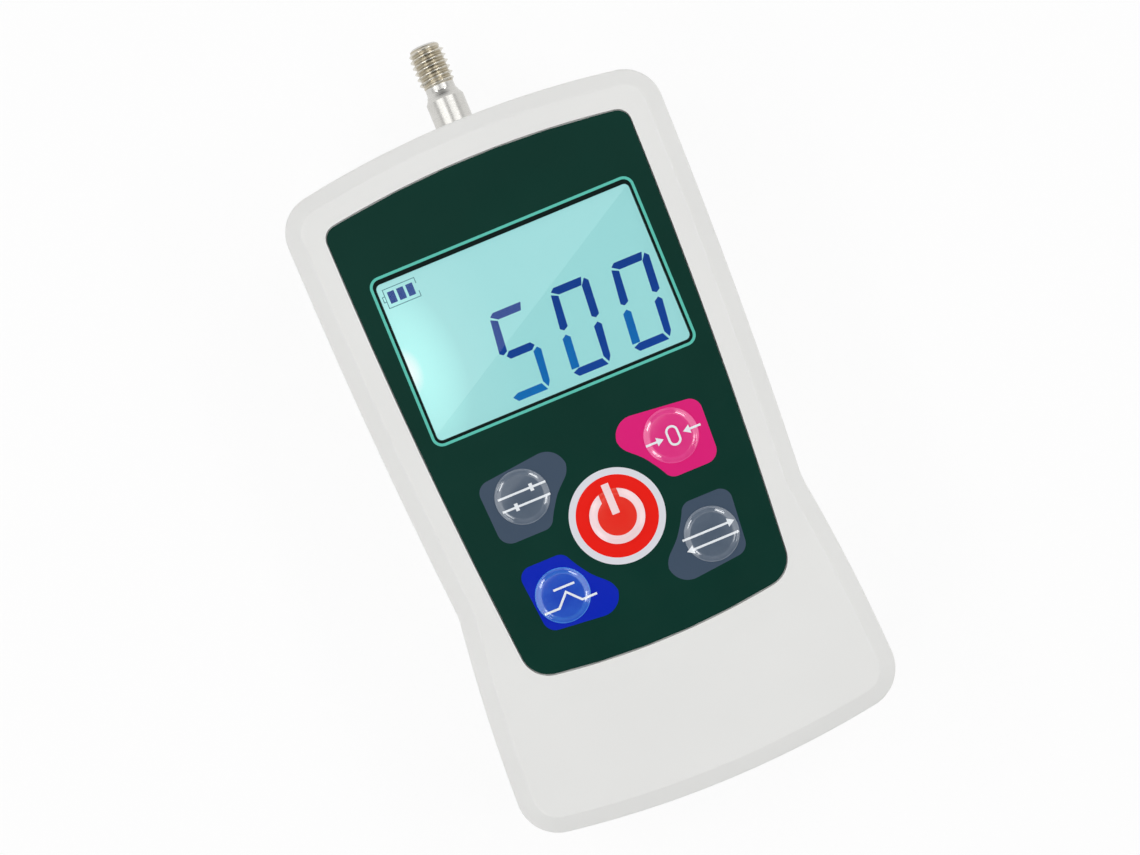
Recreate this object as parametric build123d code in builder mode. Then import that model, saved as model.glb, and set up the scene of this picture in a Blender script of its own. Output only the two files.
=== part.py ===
from build123d import *
import os

# Handheld digital force gauge, lying on its back with its face up.
# X runs across the face, +Y towards the measuring spindle, +Z out of the face.
# The origin is the middle of the flat rear face. All sizes are in millimetres.

os.makedirs("parts", exist_ok=True)

# ---- Housing: outside form, as drawn at the parting line ----
body_length = 113.5
shoulder_width = 64.5
waist_width = 59.3
foot_width = 64.8
waist_y = -16.7
top_rise = 3.3
bottom_rise = 3.1
upper_side_bulge = 0.65
lower_side_bulge = 0.62
shoulder_radius = 6.5
foot_radius = 7.0
waist_radius = 12.0
bevel_width = 2.7
bevel_drop = 2.2
bevel_softening = 0.8
ridge_softening = 0.5
draft_angle = 1.0
level_margin = 0.01

# ---- Housing: walls and the lip that locates the two halves ----
side_wall = 2.2
face_wall = 2.4
back_wall = 2.2
lip_thickness = 1.0
lip_height = 1.2
lip_clearance = 0.1
parting_groove_depth = 0.35
parting_groove_height = 0.4

# ---- Self-tapping screws that close the housing ----
shell_screw_inset = 6.4
shell_screw_radius = 1.45
shell_screw_length = 16.0
shell_screw_head_radius = 2.7
shell_screw_head_height = 2.0
shell_screw_seat = 9.0
shell_well_radius = 3.0
shell_post_radius = 4.3
shell_boss_radius = 3.2
web_thickness = 1.2
screw_clearance = 0.05
through_clearance = 0.2
pilot_spare = 0.8
board_pilot_spare = 0.3
cross_length = 3.0
cross_width = 0.7
cross_depth = 1.2

# ---- Printed keypad film in its shallow recess ----
film_top_y = 50.0
film_top_rise = 2.14
film_bottom_y = -31.8
film_bottom_rise = 2.0
film_top_width = 51.7
film_bottom_width = 44.2
film_side_bulge = 0.86
film_top_radius = 2.2
film_bottom_radius = 4.6
film_thickness = 0.5
recess_depth = 0.6
recess_gap = 0.15

# ---- Display: window, pane, liquid-crystal cell, light guide and their frame ----
window_width = 44.0
window_height = 27.8
window_radius = 1.3
window_y = 23.8
pane_margin = 1.9
pane_thickness = 1.0
pane_gap = 0.1
shell_window_margin = 0.3
view_width = 43.3
view_height = 26.7
view_radius = 0.9
glass_width = 47.0
glass_height = 32.0
glass_drop = 1.2
glass_thickness = 2.0
guide_thickness = 1.5
guide_width = 46.0
guide_gap = 1.1
contact_strip_width = 2.0
contact_strip_inset = 0.5
frame_lip = 0.6
frame_gap = 0.1
frame_wall = 1.2
frame_play = 0.2

# ---- Keys: embossed domes over tactile switches ----
dome_radius = 4.3
dome_shoulder = 0.8
dome_height = 0.6
dome_skin = 0.4
dome_softening = 0.3
dome_clearance = 0.12
key_hole_clearance = 0.3
key_x = 12.7
upper_key_y = -2.6
lower_key_y = -19.4
power_key_y = -11.1
switch_width = 6.0
switch_height = 3.5
switch_corner = 0.6
stem_radius = 1.75
stem_clearance = 0.1
stem_engagement = 0.8
key_travel = 0.4
stem_float = 0.4

# ---- Main circuit board ----
board_thickness = 1.6
board_width = 50.4
board_top_y = 46.0
board_bottom_y = -31.5
board_corner = 1.0
board_notch_width = 4.6
board_notch_height = 4.8
board_top_screw_x = 13.0
board_top_screw_inset = 2.6
board_bottom_screw_x = 21.5
board_bottom_screw_inset = 3.2
board_boss_radius = 2.2
board_screw_radius = 0.95
board_screw_length = 5.0
board_screw_head_radius = 1.9
board_screw_head_height = 1.3
processor_size = 10.0
converter_size = 5.0
chip_height = 1.4
chip_corner = 0.4
processor_y = -15.0
converter_x = 11.0
converter_y = -6.0
header_width = 7.5
header_depth = 5.0
header_height = 5.0
lead_header_x = 12.0
lead_header_y = -27.0
cell_header_x = 19.5
cell_header_y = 2.0

# ---- Load cell: an S-shaped aluminium beam in line with the spindle ----
cell_width = 32.0
cell_thickness = 12.0
cell_end_block = 9.5
cell_slot = 1.6
cell_core = 11.8
cell_slot_stop = 10.0
cell_eye_radius = 4.2
cell_eye_pitch = 12.0
cell_eye_slot = 2.0
cell_bore_depth = 8.5
cell_corner = 0.8
cell_lower_clearance = 0.4
cell_upper_clearance = 0.5
thread_clearance = 0.05
gauge_width = 5.0
gauge_depth = 4.0
gauge_thickness = 0.2

# ---- Chassis: plate with an upright that the load cell pulls on ----
chassis_width = 40.0
chassis_thickness = 2.5
chassis_level = 5.5
chassis_corner = 3.0
chassis_top_y = 46.5
chassis_bottom_y = -1.0
upright_width = 21.0
upright_thickness = 6.0
upright_y = 6.5
gusset_thickness = 2.5
gusset_length = 6.0
gusset_x = 8.9
cell_bolt_radius = 3.0
cell_bolt_length = 14.0
cell_bolt_head_radius = 5.0
cell_bolt_head_height = 5.0
cell_bolt_socket = 2.9
chassis_screw_inset = 3.5
chassis_post_radius = 3.2
chassis_screw_radius = 1.45
chassis_screw_length = 6.5
chassis_screw_head_radius = 2.7
chassis_screw_head_height = 1.6

# ---- Threaded bushes for fixing the gauge to a stand ----
mount_pitch_x = 30.0
mount_pitch_y = 25.0
mount_y = 24.0
mount_core_radius = 1.65
bush_radius = 3.2
bush_recess = 0.3
bush_fit = 0.03
bush_clearance = 0.25

# ---- Measuring spindle ----
spindle_radius = 3.2
spindle_thread_radius = 3.0
spindle_neck_radius = 2.45
spindle_hole_clearance = 0.8
shank_reach = 5.3
shank_chamfer = 0.8
neck_length = 1.3
thread_length = 6.5
tip_chamfer = 0.7
spindle_engagement = 8.0
nut_flats = 10.0
nut_thickness = 3.2

# ---- Battery pack ----
battery_cell_radius = 5.15
battery_cell_length = 44.0
battery_pitch = 10.35
battery_count = 3
battery_top_y = -2.2
battery_button_radius = 1.9
battery_button_height = 0.8
sleeve_thickness = 0.25
sleeve_play = 0.05
pad_thickness = 1.0
pad_width = 24.0
pad_length = 36.0
battery_rib_thickness = 1.2
battery_rib_height = 6.0
battery_rib_length = 30.0
battery_rib_gap = 0.4

# ---- Charging socket and its small board ----
socket_width = 8.9
socket_height = 3.2
socket_depth = 7.3
socket_setback = 0.6
socket_wall = 0.35
socket_mouth_depth = 6.0
socket_tongue = 0.7
socket_tongue_width = 6.7
socket_clearance = 0.25
charge_board_level = 6.0
charge_board_thickness = 1.0
charge_board_width = 23.0
charge_board_length = 6.4
charge_board_gap = 1.0
charge_screw_x = 7.2
charge_post_radius = 2.2

# ---- Wires inside the housing ----
wire_radius = 0.5
wire_spacing = 1.1
cell_lead_radius = 0.9
wire_bend = 4.0
cell_lead_bend = 3.5
battery_lead_drop = 5.5
cell_lead_stand_off = 4.2
cell_lead_climb = 7.0
charge_lead_x = 10.3

# ---- Levels and places that follow from the sizes above ----
# The depth is stacked from the back: chassis, load cell, board, display and face.
# The two halves of the housing meet on the axis of the spindle.
chassis_top_level = chassis_level + chassis_thickness
cell_level = chassis_top_level + chassis_screw_head_height + cell_lower_clearance
spindle_level = cell_level + cell_thickness / 2
parting_height = spindle_level
cell_top_level = cell_level + cell_thickness
board_level = cell_top_level + cell_upper_clearance + board_screw_head_height
board_top_level = board_level + board_thickness
glass_level = board_top_level + guide_thickness
glass_top_level = glass_level + glass_thickness
frame_top_level = glass_top_level + frame_lip
face_inner_level = frame_top_level + frame_gap
front_level = face_inner_level + face_wall
recess_level = front_level - recess_depth
film_level = recess_level + film_thickness
pane_level = recess_level - pane_thickness
dome_top_level = film_level + dome_height
stem_top_level = dome_top_level - dome_skin
switch_top_level = board_top_level + switch_height
top_y = body_length / 2
bottom_y = -body_length / 2
shoulder_y = top_y - top_rise
foot_y = bottom_y + bottom_rise
cell_length = 2 * cell_end_block + 2 * cell_slot + cell_core
cell_bottom_y = upright_y + upright_thickness
cell_top_y = cell_bottom_y + cell_length
cell_middle_y = cell_bottom_y + cell_length / 2
glass_y = window_y - glass_drop
shoulder_screw_x = shoulder_width / 2 - shell_screw_inset
shoulder_screw_y = shoulder_y - shell_screw_inset
foot_screw_x = foot_width / 2 - shell_screw_inset
foot_screw_y = foot_y + shell_screw_inset
battery_axis_level = back_wall + pad_thickness + sleeve_thickness + sleeve_play + battery_cell_radius
socket_level = charge_board_level + charge_board_thickness
socket_axis_level = socket_level + socket_height / 2
sleeve_inner_radius = battery_cell_radius + sleeve_play
sleeve_outer_radius = sleeve_inner_radius + sleeve_thickness
battery_pack_width = (battery_count - 1) * battery_pitch + 2 * sleeve_outer_radius
battery_rib_x = battery_pack_width / 2 + battery_rib_gap + battery_rib_thickness / 2

shell_screw_points = [
    (shoulder_screw_x, shoulder_screw_y),
    (-shoulder_screw_x, shoulder_screw_y),
    (foot_screw_x, foot_screw_y),
    (-foot_screw_x, foot_screw_y),
]
web_length = shell_screw_inset - side_wall / 2
web_points = [(x + web_length / 2 * (1 if x > 0 else -1), y) for x, y in shell_screw_points]
board_screw_points = [
    (board_top_screw_x, board_top_y - board_top_screw_inset),
    (-board_top_screw_x, board_top_y - board_top_screw_inset),
    (board_bottom_screw_x, board_bottom_y + board_bottom_screw_inset),
    (-board_bottom_screw_x, board_bottom_y + board_bottom_screw_inset),
]
charge_board_y = bottom_y + side_wall + charge_board_gap + charge_board_length / 2
charge_screw_points = [(charge_screw_x, charge_board_y), (-charge_screw_x, charge_board_y)]
chassis_screw_x = chassis_width / 2 - chassis_screw_inset
chassis_screw_points = [
    (chassis_screw_x, chassis_top_y - chassis_screw_inset),
    (-chassis_screw_x, chassis_top_y - chassis_screw_inset),
    (chassis_screw_x, chassis_bottom_y + chassis_screw_inset),
    (-chassis_screw_x, chassis_bottom_y + chassis_screw_inset),
]
mount_points = [
    (x * mount_pitch_x / 2, mount_y + y * mount_pitch_y / 2) for x in (-1, 1) for y in (-1, 1)
]
key_points = {
    "set": (-key_x, upper_key_y),
    "zero": (key_x, upper_key_y),
    "peak": (-key_x, lower_key_y),
    "unit": (key_x, lower_key_y),
    "power": (0, power_key_y),
}


def save(piece, name):
    """Labels a finished piece and writes it as its own file."""
    piece.part.label = name
    export_step(piece.part, f"parts/{name}.step")


# ---- Forms shared by several pieces ----
def body_outline(inset):
    """Plan of the body, drawn in by the inset: crowned ends, bulging sides and a pinched waist."""
    shoulder = Vector(shoulder_width / 2 - inset, shoulder_y - inset)
    waist = Vector(waist_width / 2 - inset, waist_y)
    foot = Vector(foot_width / 2 - inset, foot_y + inset)
    with BuildSketch() as outline:
        with BuildLine():
            SagittaArc(shoulder, waist, upper_side_bulge)
            SagittaArc(waist, foot, lower_side_bulge)
            mirror(about=Plane.YZ)
            SagittaArc((-shoulder.X, shoulder.Y), shoulder, top_rise)
            SagittaArc(foot, (-foot.X, foot.Y), bottom_rise)
        make_face()
        fillet(outline.vertices().group_by(Axis.Y)[-1], shoulder_radius - inset)
        fillet(outline.vertices().group_by(Axis.Y)[0], foot_radius - inset)
        fillet(outline.vertices().sort_by_distance((0, waist_y))[:2], waist_radius + inset)
    return outline.sketch


def drafted_block(inset, height):
    """A block with the body's plan that rises from the parting plane and tapers as it goes."""
    plan = body_outline(inset)
    with BuildPart() as block:
        with BuildSketch(Plane.XY.offset(parting_height)):
            add(plan)
        extrude(amount=height)
        walls = block.faces().filter_by(GeomType.CYLINDER)
        draft(walls, Plane.XY.offset(parting_height), draft_angle if height > 0 else -draft_angle)
    return block.part


def edges_at(shape, level):
    """The edges of a shape that lie at one level."""
    return shape.edges().filter_by_position(Axis.Z, level - level_margin, level + level_margin)


def half_form(height):
    """Outside of one half of the housing: tapered sides and a soft-edged bevel round its face."""
    block = drafted_block(0, height)
    outer_level = parting_height + height
    edge_level = outer_level - bevel_drop if height > 0 else outer_level + bevel_drop
    with BuildPart() as half:
        add(block)
        face = half.faces().sort_by(Axis.Z)[-1 if height > 0 else 0]
        chamfer(face.edges(), length=bevel_width, length2=bevel_drop, reference=face)
        fillet(edges_at(half, edge_level), bevel_softening)
        fillet(edges_at(half, outer_level), ridge_softening)
    return half.part


def rim_along_wall(height, outer_inset, inner_inset):
    """A rim on the parting plane that follows the side wall between two insets."""
    outer_plan = body_outline(outer_inset)
    inner_plan = body_outline(inner_inset)
    with BuildPart() as rim:
        with BuildSketch(Plane.XY.offset(parting_height)):
            add(outer_plan)
            add(inner_plan, mode=Mode.SUBTRACT)
        extrude(amount=height)
    return rim.part


def film_outline(inset):
    """Plan of the keypad film, drawn in by the inset: crowned top, sides that draw in downwards."""
    top = Vector(film_top_width / 2 - inset, film_top_y - film_top_rise - inset)
    bottom = Vector(film_bottom_width / 2 - inset, film_bottom_y + film_bottom_rise + inset)
    with BuildSketch() as outline:
        with BuildLine():
            SagittaArc(top, bottom, film_side_bulge)
            mirror(about=Plane.YZ)
            SagittaArc((-top.X, top.Y), top, film_top_rise)
            SagittaArc(bottom, (-bottom.X, bottom.Y), film_bottom_rise)
        make_face()
        fillet(outline.vertices().group_by(Axis.Y)[-1], film_top_radius - inset)
        fillet(outline.vertices().group_by(Axis.Y)[0], film_bottom_radius - inset)
    return outline.sketch


film_plan = film_outline(0)
recess_plan = film_outline(-recess_gap)
front_form = half_form(front_level - parting_height)
rear_form = half_form(-parting_height)
front_room = drafted_block(side_wall, face_inner_level - parting_height)
rear_room = drafted_block(side_wall, back_wall - parting_height)
lip_inset = side_wall - lip_thickness
lip_rim = rim_along_wall(lip_height, lip_inset, side_wall)
lip_groove = rim_along_wall(
    lip_height + lip_clearance, lip_inset - lip_clearance, side_wall + lip_thickness
)
parting_groove = rim_along_wall(-parting_groove_height, -parting_groove_depth, parting_groove_depth)

# Round way out for the spindle through the top wall of both halves.
with BuildPart() as spindle_way:
    with BuildSketch(Plane.XZ.offset(-cell_top_y)):
        with Locations((0, spindle_level)):
            Circle(spindle_radius + spindle_hole_clearance)
    extrude(amount=-(top_y - cell_top_y + side_wall))

# ---- Front shell: moulded ABS, with the film recess, display window and key holes ----
with BuildPart() as front_shell:
    add(front_form)
    add(front_room, mode=Mode.SUBTRACT)
    add(lip_groove, mode=Mode.SUBTRACT)
    # Screw bosses and board bosses hang from the face.
    with BuildSketch(Plane.XY.offset(parting_height)):
        with Locations(*shell_screw_points):
            Circle(shell_boss_radius)
    extrude(amount=face_inner_level - parting_height)
    with BuildSketch(Plane.XY.offset(board_top_level)):
        with Locations(*board_screw_points):
            Circle(board_boss_radius)
    extrude(amount=face_inner_level - board_top_level)
    # Webs that tie the screw bosses to the side walls.
    web_foot = parting_height + lip_height + lip_clearance
    with BuildSketch(Plane.XY.offset(web_foot)):
        with Locations(*web_points):
            Rectangle(web_length, web_thickness)
    extrude(amount=face_inner_level - web_foot)
    shell_pilot_top = shell_screw_seat + shell_screw_length + pilot_spare
    with BuildSketch(Plane.XY.offset(parting_height)):
        with Locations(*shell_screw_points):
            Circle(shell_screw_radius + screw_clearance)
    extrude(amount=shell_pilot_top - parting_height, mode=Mode.SUBTRACT)
    with BuildSketch(Plane.XY.offset(board_top_level)):
        with Locations(*board_screw_points):
            Circle(board_screw_radius + screw_clearance)
    extrude(amount=board_screw_length - board_thickness + board_pilot_spare, mode=Mode.SUBTRACT)
    # Film recess, pane ledge, display opening and key holes.
    with BuildSketch(Plane.XY.offset(recess_level)):
        add(recess_plan)
    extrude(amount=recess_depth, mode=Mode.SUBTRACT)
    with BuildSketch(Plane.XY.offset(pane_level)):
        with Locations((0, window_y)):
            RectangleRounded(
                window_width + 2 * (pane_margin + pane_gap),
                window_height + 2 * (pane_margin + pane_gap),
                window_radius + pane_margin,
            )
    extrude(amount=pane_thickness, mode=Mode.SUBTRACT)
    with BuildSketch(Plane.XY.offset(face_inner_level)):
        with Locations((0, window_y)):
            RectangleRounded(
                window_width + 2 * shell_window_margin,
                window_height + 2 * shell_window_margin,
                window_radius + shell_window_margin,
            )
        with Locations(*key_points.values()):
            Circle(dome_radius + key_hole_clearance)
    extrude(amount=face_wall, mode=Mode.SUBTRACT)
    add(spindle_way.part, mode=Mode.SUBTRACT)
save(front_shell, "front_shell")

# ---- Rear shell: moulded ABS, with the lip, screw wells, chassis posts and battery ribs ----
# A shallow groove under its rim turns the joint with the front shell into a neat shadow line.
with BuildPart() as rear_shell:
    add(rear_form)
    add(rear_room, mode=Mode.SUBTRACT)
    add(parting_groove, mode=Mode.SUBTRACT)
    add(lip_rim)
    # Deep posts for the closing screws, tied to the side walls, each with a well from the back.
    with BuildSketch(Plane.XY.offset(parting_height)):
        with Locations(*shell_screw_points):
            Circle(shell_post_radius)
    extrude(amount=back_wall - parting_height)
    with BuildSketch(Plane.XY.offset(back_wall)):
        with Locations(*web_points):
            Rectangle(web_length, web_thickness)
    extrude(amount=parting_height - lip_height - back_wall)
    with BuildSketch():
        with Locations(*shell_screw_points):
            Circle(shell_well_radius)
    extrude(amount=shell_screw_seat, mode=Mode.SUBTRACT)
    with BuildSketch(Plane.XY.offset(shell_screw_seat)):
        with Locations(*shell_screw_points):
            Circle(shell_screw_radius + through_clearance)
    extrude(amount=parting_height - shell_screw_seat, mode=Mode.SUBTRACT)
    # Posts that carry the chassis plate, and posts that carry the charging board.
    with BuildSketch(Plane.XY.offset(back_wall)):
        with Locations(*chassis_screw_points):
            Circle(chassis_post_radius)
    extrude(amount=chassis_level - back_wall)
    with BuildSketch(Plane.XY.offset(back_wall)):
        with Locations(*charge_screw_points):
            Circle(charge_post_radius)
    extrude(amount=charge_board_level - back_wall)
    with BuildSketch(Plane.XY.offset(chassis_level)):
        with Locations(*chassis_screw_points):
            Circle(chassis_screw_radius + screw_clearance)
    extrude(amount=chassis_thickness - chassis_screw_length - pilot_spare, mode=Mode.SUBTRACT)
    with BuildSketch(Plane.XY.offset(charge_board_level)):
        with Locations(*charge_screw_points):
            Circle(board_screw_radius + screw_clearance)
    extrude(amount=charge_board_thickness - board_screw_length - board_pilot_spare, mode=Mode.SUBTRACT)
    # Ribs that keep the battery pack in place.
    with BuildSketch(Plane.XY.offset(back_wall)):
        with Locations((0, battery_top_y - battery_cell_length / 2)):
            with GridLocations(2 * battery_rib_x, 0, 2, 1):
                Rectangle(battery_rib_thickness, battery_rib_length)
    extrude(amount=battery_rib_height)
    # Holes for the mounting bushes.
    with BuildSketch():
        with Locations(*mount_points):
            Circle(bush_radius + bush_clearance)
    extrude(amount=back_wall, mode=Mode.SUBTRACT)
    # Way in for the charging plug.
    with BuildSketch(Plane.XZ.offset(-bottom_y - 2 * side_wall)):
        with Locations((0, socket_axis_level)):
            RectangleRounded(
                socket_width + 2 * socket_clearance,
                socket_height + 2 * socket_clearance,
                socket_height / 2,
            )
    extrude(amount=4 * side_wall, mode=Mode.SUBTRACT)
    add(spindle_way.part, mode=Mode.SUBTRACT)
save(rear_shell, "rear_shell")

# ---- Closing screws: pan-head self-tappers in the four wells ----
with BuildPart() as shell_screws:
    with BuildSketch(Plane.XY.offset(shell_screw_seat)):
        with Locations(*shell_screw_points):
            Circle(shell_screw_radius)
    extrude(amount=shell_screw_length)
    with BuildSketch(Plane.XY.offset(shell_screw_seat)):
        with Locations(*shell_screw_points):
            Circle(shell_screw_head_radius)
    extrude(amount=-shell_screw_head_height)
    head_rims = shell_screws.faces().sort_by(Axis.Z).group_by(Axis.Z)[0].edges()
    fillet(head_rims, shell_screw_head_height / 3)
    with BuildSketch(Plane.XY.offset(shell_screw_seat - shell_screw_head_height)):
        for x, y in shell_screw_points:
            with Locations((x, y)):
                Rectangle(cross_length, cross_width)
                Rectangle(cross_width, cross_length)
    extrude(amount=cross_depth, mode=Mode.SUBTRACT)
save(shell_screws, "shell_screws")

# ---- Keypad film: printed polycarbonate sheet with the window and the domes cut clear ----
with BuildPart() as keypad_film:
    with BuildSketch(Plane.XY.offset(recess_level)):
        add(film_plan)
        with Locations((0, window_y)):
            RectangleRounded(window_width, window_height, window_radius, mode=Mode.SUBTRACT)
        with Locations(*key_points.values()):
            Circle(dome_radius + dome_clearance, mode=Mode.SUBTRACT)
    extrude(amount=film_thickness)
save(keypad_film, "keypad_film")

# ---- Display pane: clear acrylic, held under the rim of the film ----
with BuildPart() as display_pane:
    with BuildSketch(Plane.XY.offset(pane_level)):
        with Locations((0, window_y)):
            RectangleRounded(
                window_width + 2 * pane_margin,
                window_height + 2 * pane_margin,
                window_radius + pane_margin,
            )
    extrude(amount=pane_thickness)
save(display_pane, "display_pane")

# ---- Display frame: black moulding that clamps glass and light guide to the board ----
with BuildPart() as display_frame:
    with BuildSketch(Plane.XY.offset(board_top_level)):
        with Locations((0, glass_y)):
            Rectangle(
                glass_width + 2 * (frame_play + frame_wall),
                glass_height + 2 * (frame_play + frame_wall),
            )
    extrude(amount=frame_top_level - board_top_level)
    fillet(display_frame.edges().filter_by(Axis.Z), frame_wall)
    with BuildSketch(Plane.XY.offset(board_top_level)):
        with Locations((0, glass_y)):
            Rectangle(glass_width + 2 * frame_play, glass_height + 2 * frame_play)
    extrude(amount=glass_top_level - board_top_level, mode=Mode.SUBTRACT)
    with BuildSketch(Plane.XY.offset(glass_top_level)):
        with Locations((0, window_y)):
            RectangleRounded(view_width, view_height, view_radius)
    extrude(amount=frame_lip, mode=Mode.SUBTRACT)
save(display_frame, "display_frame")

# ---- Liquid-crystal cell: two sheets of glass with the digits between them ----
with BuildPart() as display_glass:
    with BuildSketch(Plane.XY.offset(glass_level)):
        with Locations((0, glass_y)):
            Rectangle(glass_width, glass_height)
    extrude(amount=glass_thickness)
save(display_glass, "display_glass")

# ---- Light guide: white acrylic plate lit from its edge, above the contact strip ----
glass_bottom_y = glass_y - glass_height / 2
guide_height = glass_height - contact_strip_inset - contact_strip_width - guide_gap
guide_y = glass_bottom_y + glass_height - guide_height / 2
with BuildPart() as light_guide:
    with BuildSketch(Plane.XY.offset(board_top_level)):
        with Locations((0, guide_y)):
            Rectangle(guide_width, guide_height)
    extrude(amount=guide_thickness)
save(light_guide, "light_guide")

# ---- Contact strip: layered conductive rubber between board and glass ----
with BuildPart() as contact_strip:
    with BuildSketch(Plane.XY.offset(board_top_level)):
        with Locations((0, glass_bottom_y + contact_strip_inset + contact_strip_width / 2)):
            Rectangle(guide_width, contact_strip_width)
    extrude(amount=guide_thickness)
save(contact_strip, "contact_strip")

# ---- Main board: glass-fibre laminate, notched to clear the shell bosses ----
board_height = board_top_y - board_bottom_y
with BuildPart() as main_board:
    with BuildSketch(Plane.XY.offset(board_level)) as board_plan:
        with Locations((0, board_bottom_y + board_height / 2)):
            Rectangle(board_width, board_height)
        notch_y = board_top_y - board_notch_height / 2
        notch_x = board_width / 2 - board_notch_width / 2
        with Locations((notch_x, notch_y), (-notch_x, notch_y)):
            Rectangle(board_notch_width, board_notch_height, mode=Mode.SUBTRACT)
        fillet(board_plan.vertices(), board_corner)
        with Locations(*board_screw_points):
            Circle(board_screw_radius + through_clearance, mode=Mode.SUBTRACT)
    extrude(amount=board_thickness)
save(main_board, "main_board")

# ---- Chips on the back of the board: the processor and the load-cell converter ----
with BuildPart() as board_chips:
    with BuildSketch(Plane.XY.offset(board_level)):
        with Locations((0, processor_y)):
            RectangleRounded(processor_size, processor_size, chip_corner)
        with Locations((converter_x, converter_y)):
            RectangleRounded(converter_size, converter_size, chip_corner)
    extrude(amount=-chip_height)
save(board_chips, "board_chips")

# ---- Wire headers on the back of the board: two facing down, one facing the load cell ----
with BuildPart() as wire_headers:
    with BuildSketch(Plane.XY.offset(board_level)):
        with Locations((-lead_header_x, lead_header_y), (lead_header_x, lead_header_y)):
            Rectangle(header_width, header_depth)
        with Locations((cell_header_x, cell_header_y)):
            Rectangle(header_width, header_depth)
    extrude(amount=-header_height)
save(wire_headers, "wire_headers")

# ---- Board screws: small pan heads, four in the main board and two in the charging board ----
board_screw_places = [
    Location((x, y, board_level), (0, 0, 0)) for x, y in board_screw_points
] + [Location((x, y, socket_level), (180, 0, 0)) for x, y in charge_screw_points]
with BuildPart() as board_screws:
    with Locations(*board_screw_places):
        Cylinder(
            board_screw_radius,
            board_screw_length,
            align=(Align.CENTER, Align.CENTER, Align.MIN),
        )
        Cylinder(
            board_screw_head_radius,
            board_screw_head_height,
            align=(Align.CENTER, Align.CENTER, Align.MAX),
        )
save(board_screws, "board_screws")

# ---- Tactile switches: five square housings, each bored for its stem ----
with BuildPart() as switch_housings:
    with BuildSketch(Plane.XY.offset(board_top_level)):
        with Locations(*key_points.values()):
            RectangleRounded(switch_width, switch_width, switch_corner)
    extrude(amount=switch_height)
    with BuildSketch(Plane.XY.offset(switch_top_level)):
        with Locations(*key_points.values()):
            Circle(stem_radius + stem_clearance)
    extrude(amount=-(stem_engagement + key_travel + stem_float), mode=Mode.SUBTRACT)
save(switch_housings, "switch_housings")


def make_dome(point):
    """The embossed part of the film over one switch: rim, sloped shoulder and flat crown."""
    x, y = point
    crown_radius = dome_radius - dome_shoulder
    with BuildPart() as dome:
        with BuildSketch(Plane((x, y, 0), x_dir=(1, 0, 0), z_dir=(0, -1, 0))):
            with BuildLine():
                Polyline(
                    (0, dome_top_level),
                    (crown_radius, dome_top_level),
                    (dome_radius, film_level),
                    (dome_radius, recess_level),
                    (dome_radius - dome_skin, recess_level),
                    (crown_radius - dome_skin, stem_top_level),
                    (0, stem_top_level),
                    close=True,
                )
            make_face()
        revolve(axis=Axis((x, y, 0), (0, 0, 1)))
        crown_rim = dome.faces().sort_by(Axis.Z)[-1].edges()
        fillet(crown_rim, dome_softening)
    return dome


def make_stem(point):
    """The plunger of one tactile switch, from inside its housing up to the dome."""
    x, y = point
    with BuildPart() as stem:
        with BuildSketch(Plane.XY.offset(switch_top_level - stem_engagement)):
            with Locations((x, y)):
                Circle(stem_radius)
        extrude(amount=stem_top_level - switch_top_level + stem_engagement)
    return stem


# ---- Keys: each is a dome of the film and the switch stem under it ----
for key, point in key_points.items():
    save(make_dome(point), f"{key}_key")
    save(make_stem(point), f"{key}_switch_stem")

# ---- Load cell: aluminium block slotted from both sides, with a double eye in its core ----
slot_length = cell_width / 2 + cell_slot_stop
upper_slot_y = cell_top_y - cell_end_block - cell_slot / 2
lower_slot_y = cell_bottom_y + cell_end_block + cell_slot / 2
with BuildPart() as load_cell:
    with BuildSketch(Plane.XY.offset(cell_level)) as cell_plan:
        with Locations((0, cell_middle_y)):
            Rectangle(cell_width, cell_length)
        fillet(cell_plan.vertices(), cell_corner)
        with Locations((-cell_width / 2 + slot_length / 2, upper_slot_y)):
            Rectangle(slot_length, cell_slot, mode=Mode.SUBTRACT)
        with Locations((cell_width / 2 - slot_length / 2, lower_slot_y)):
            Rectangle(slot_length, cell_slot, mode=Mode.SUBTRACT)
        slot_ends = [
            (-cell_width / 2 + slot_length, upper_slot_y),
            (cell_width / 2 - slot_length, lower_slot_y),
        ]
        with Locations(*slot_ends):
            Circle(cell_slot / 2, mode=Mode.SUBTRACT)
        with Locations((0, cell_middle_y)):
            Rectangle(cell_eye_pitch, cell_eye_slot, mode=Mode.SUBTRACT)
            with GridLocations(cell_eye_pitch, 0, 2, 1):
                Circle(cell_eye_radius, mode=Mode.SUBTRACT)
    extrude(amount=cell_thickness)
    with BuildSketch(Plane.XZ.offset(-cell_top_y)):
        with Locations((0, spindle_level)):
            Circle(spindle_thread_radius + thread_clearance)
    extrude(amount=cell_bore_depth, mode=Mode.SUBTRACT)
    with BuildSketch(Plane.XZ.offset(-cell_bottom_y)):
        with Locations((0, spindle_level)):
            Circle(cell_bolt_radius + thread_clearance)
    extrude(amount=-cell_bore_depth, mode=Mode.SUBTRACT)
save(load_cell, "load_cell")

# ---- Strain gauges: four foil patches bonded over the thin walls beside the eyes ----
gauge_y = cell_core / 2 + gauge_thickness / 2
with BuildPart() as strain_gauges:
    with Locations((0, cell_middle_y, spindle_level)):
        with GridLocations(cell_eye_pitch, 2 * gauge_y, 2, 2):
            Box(gauge_width, gauge_thickness, gauge_depth)
save(strain_gauges, "strain_gauges")

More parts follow.
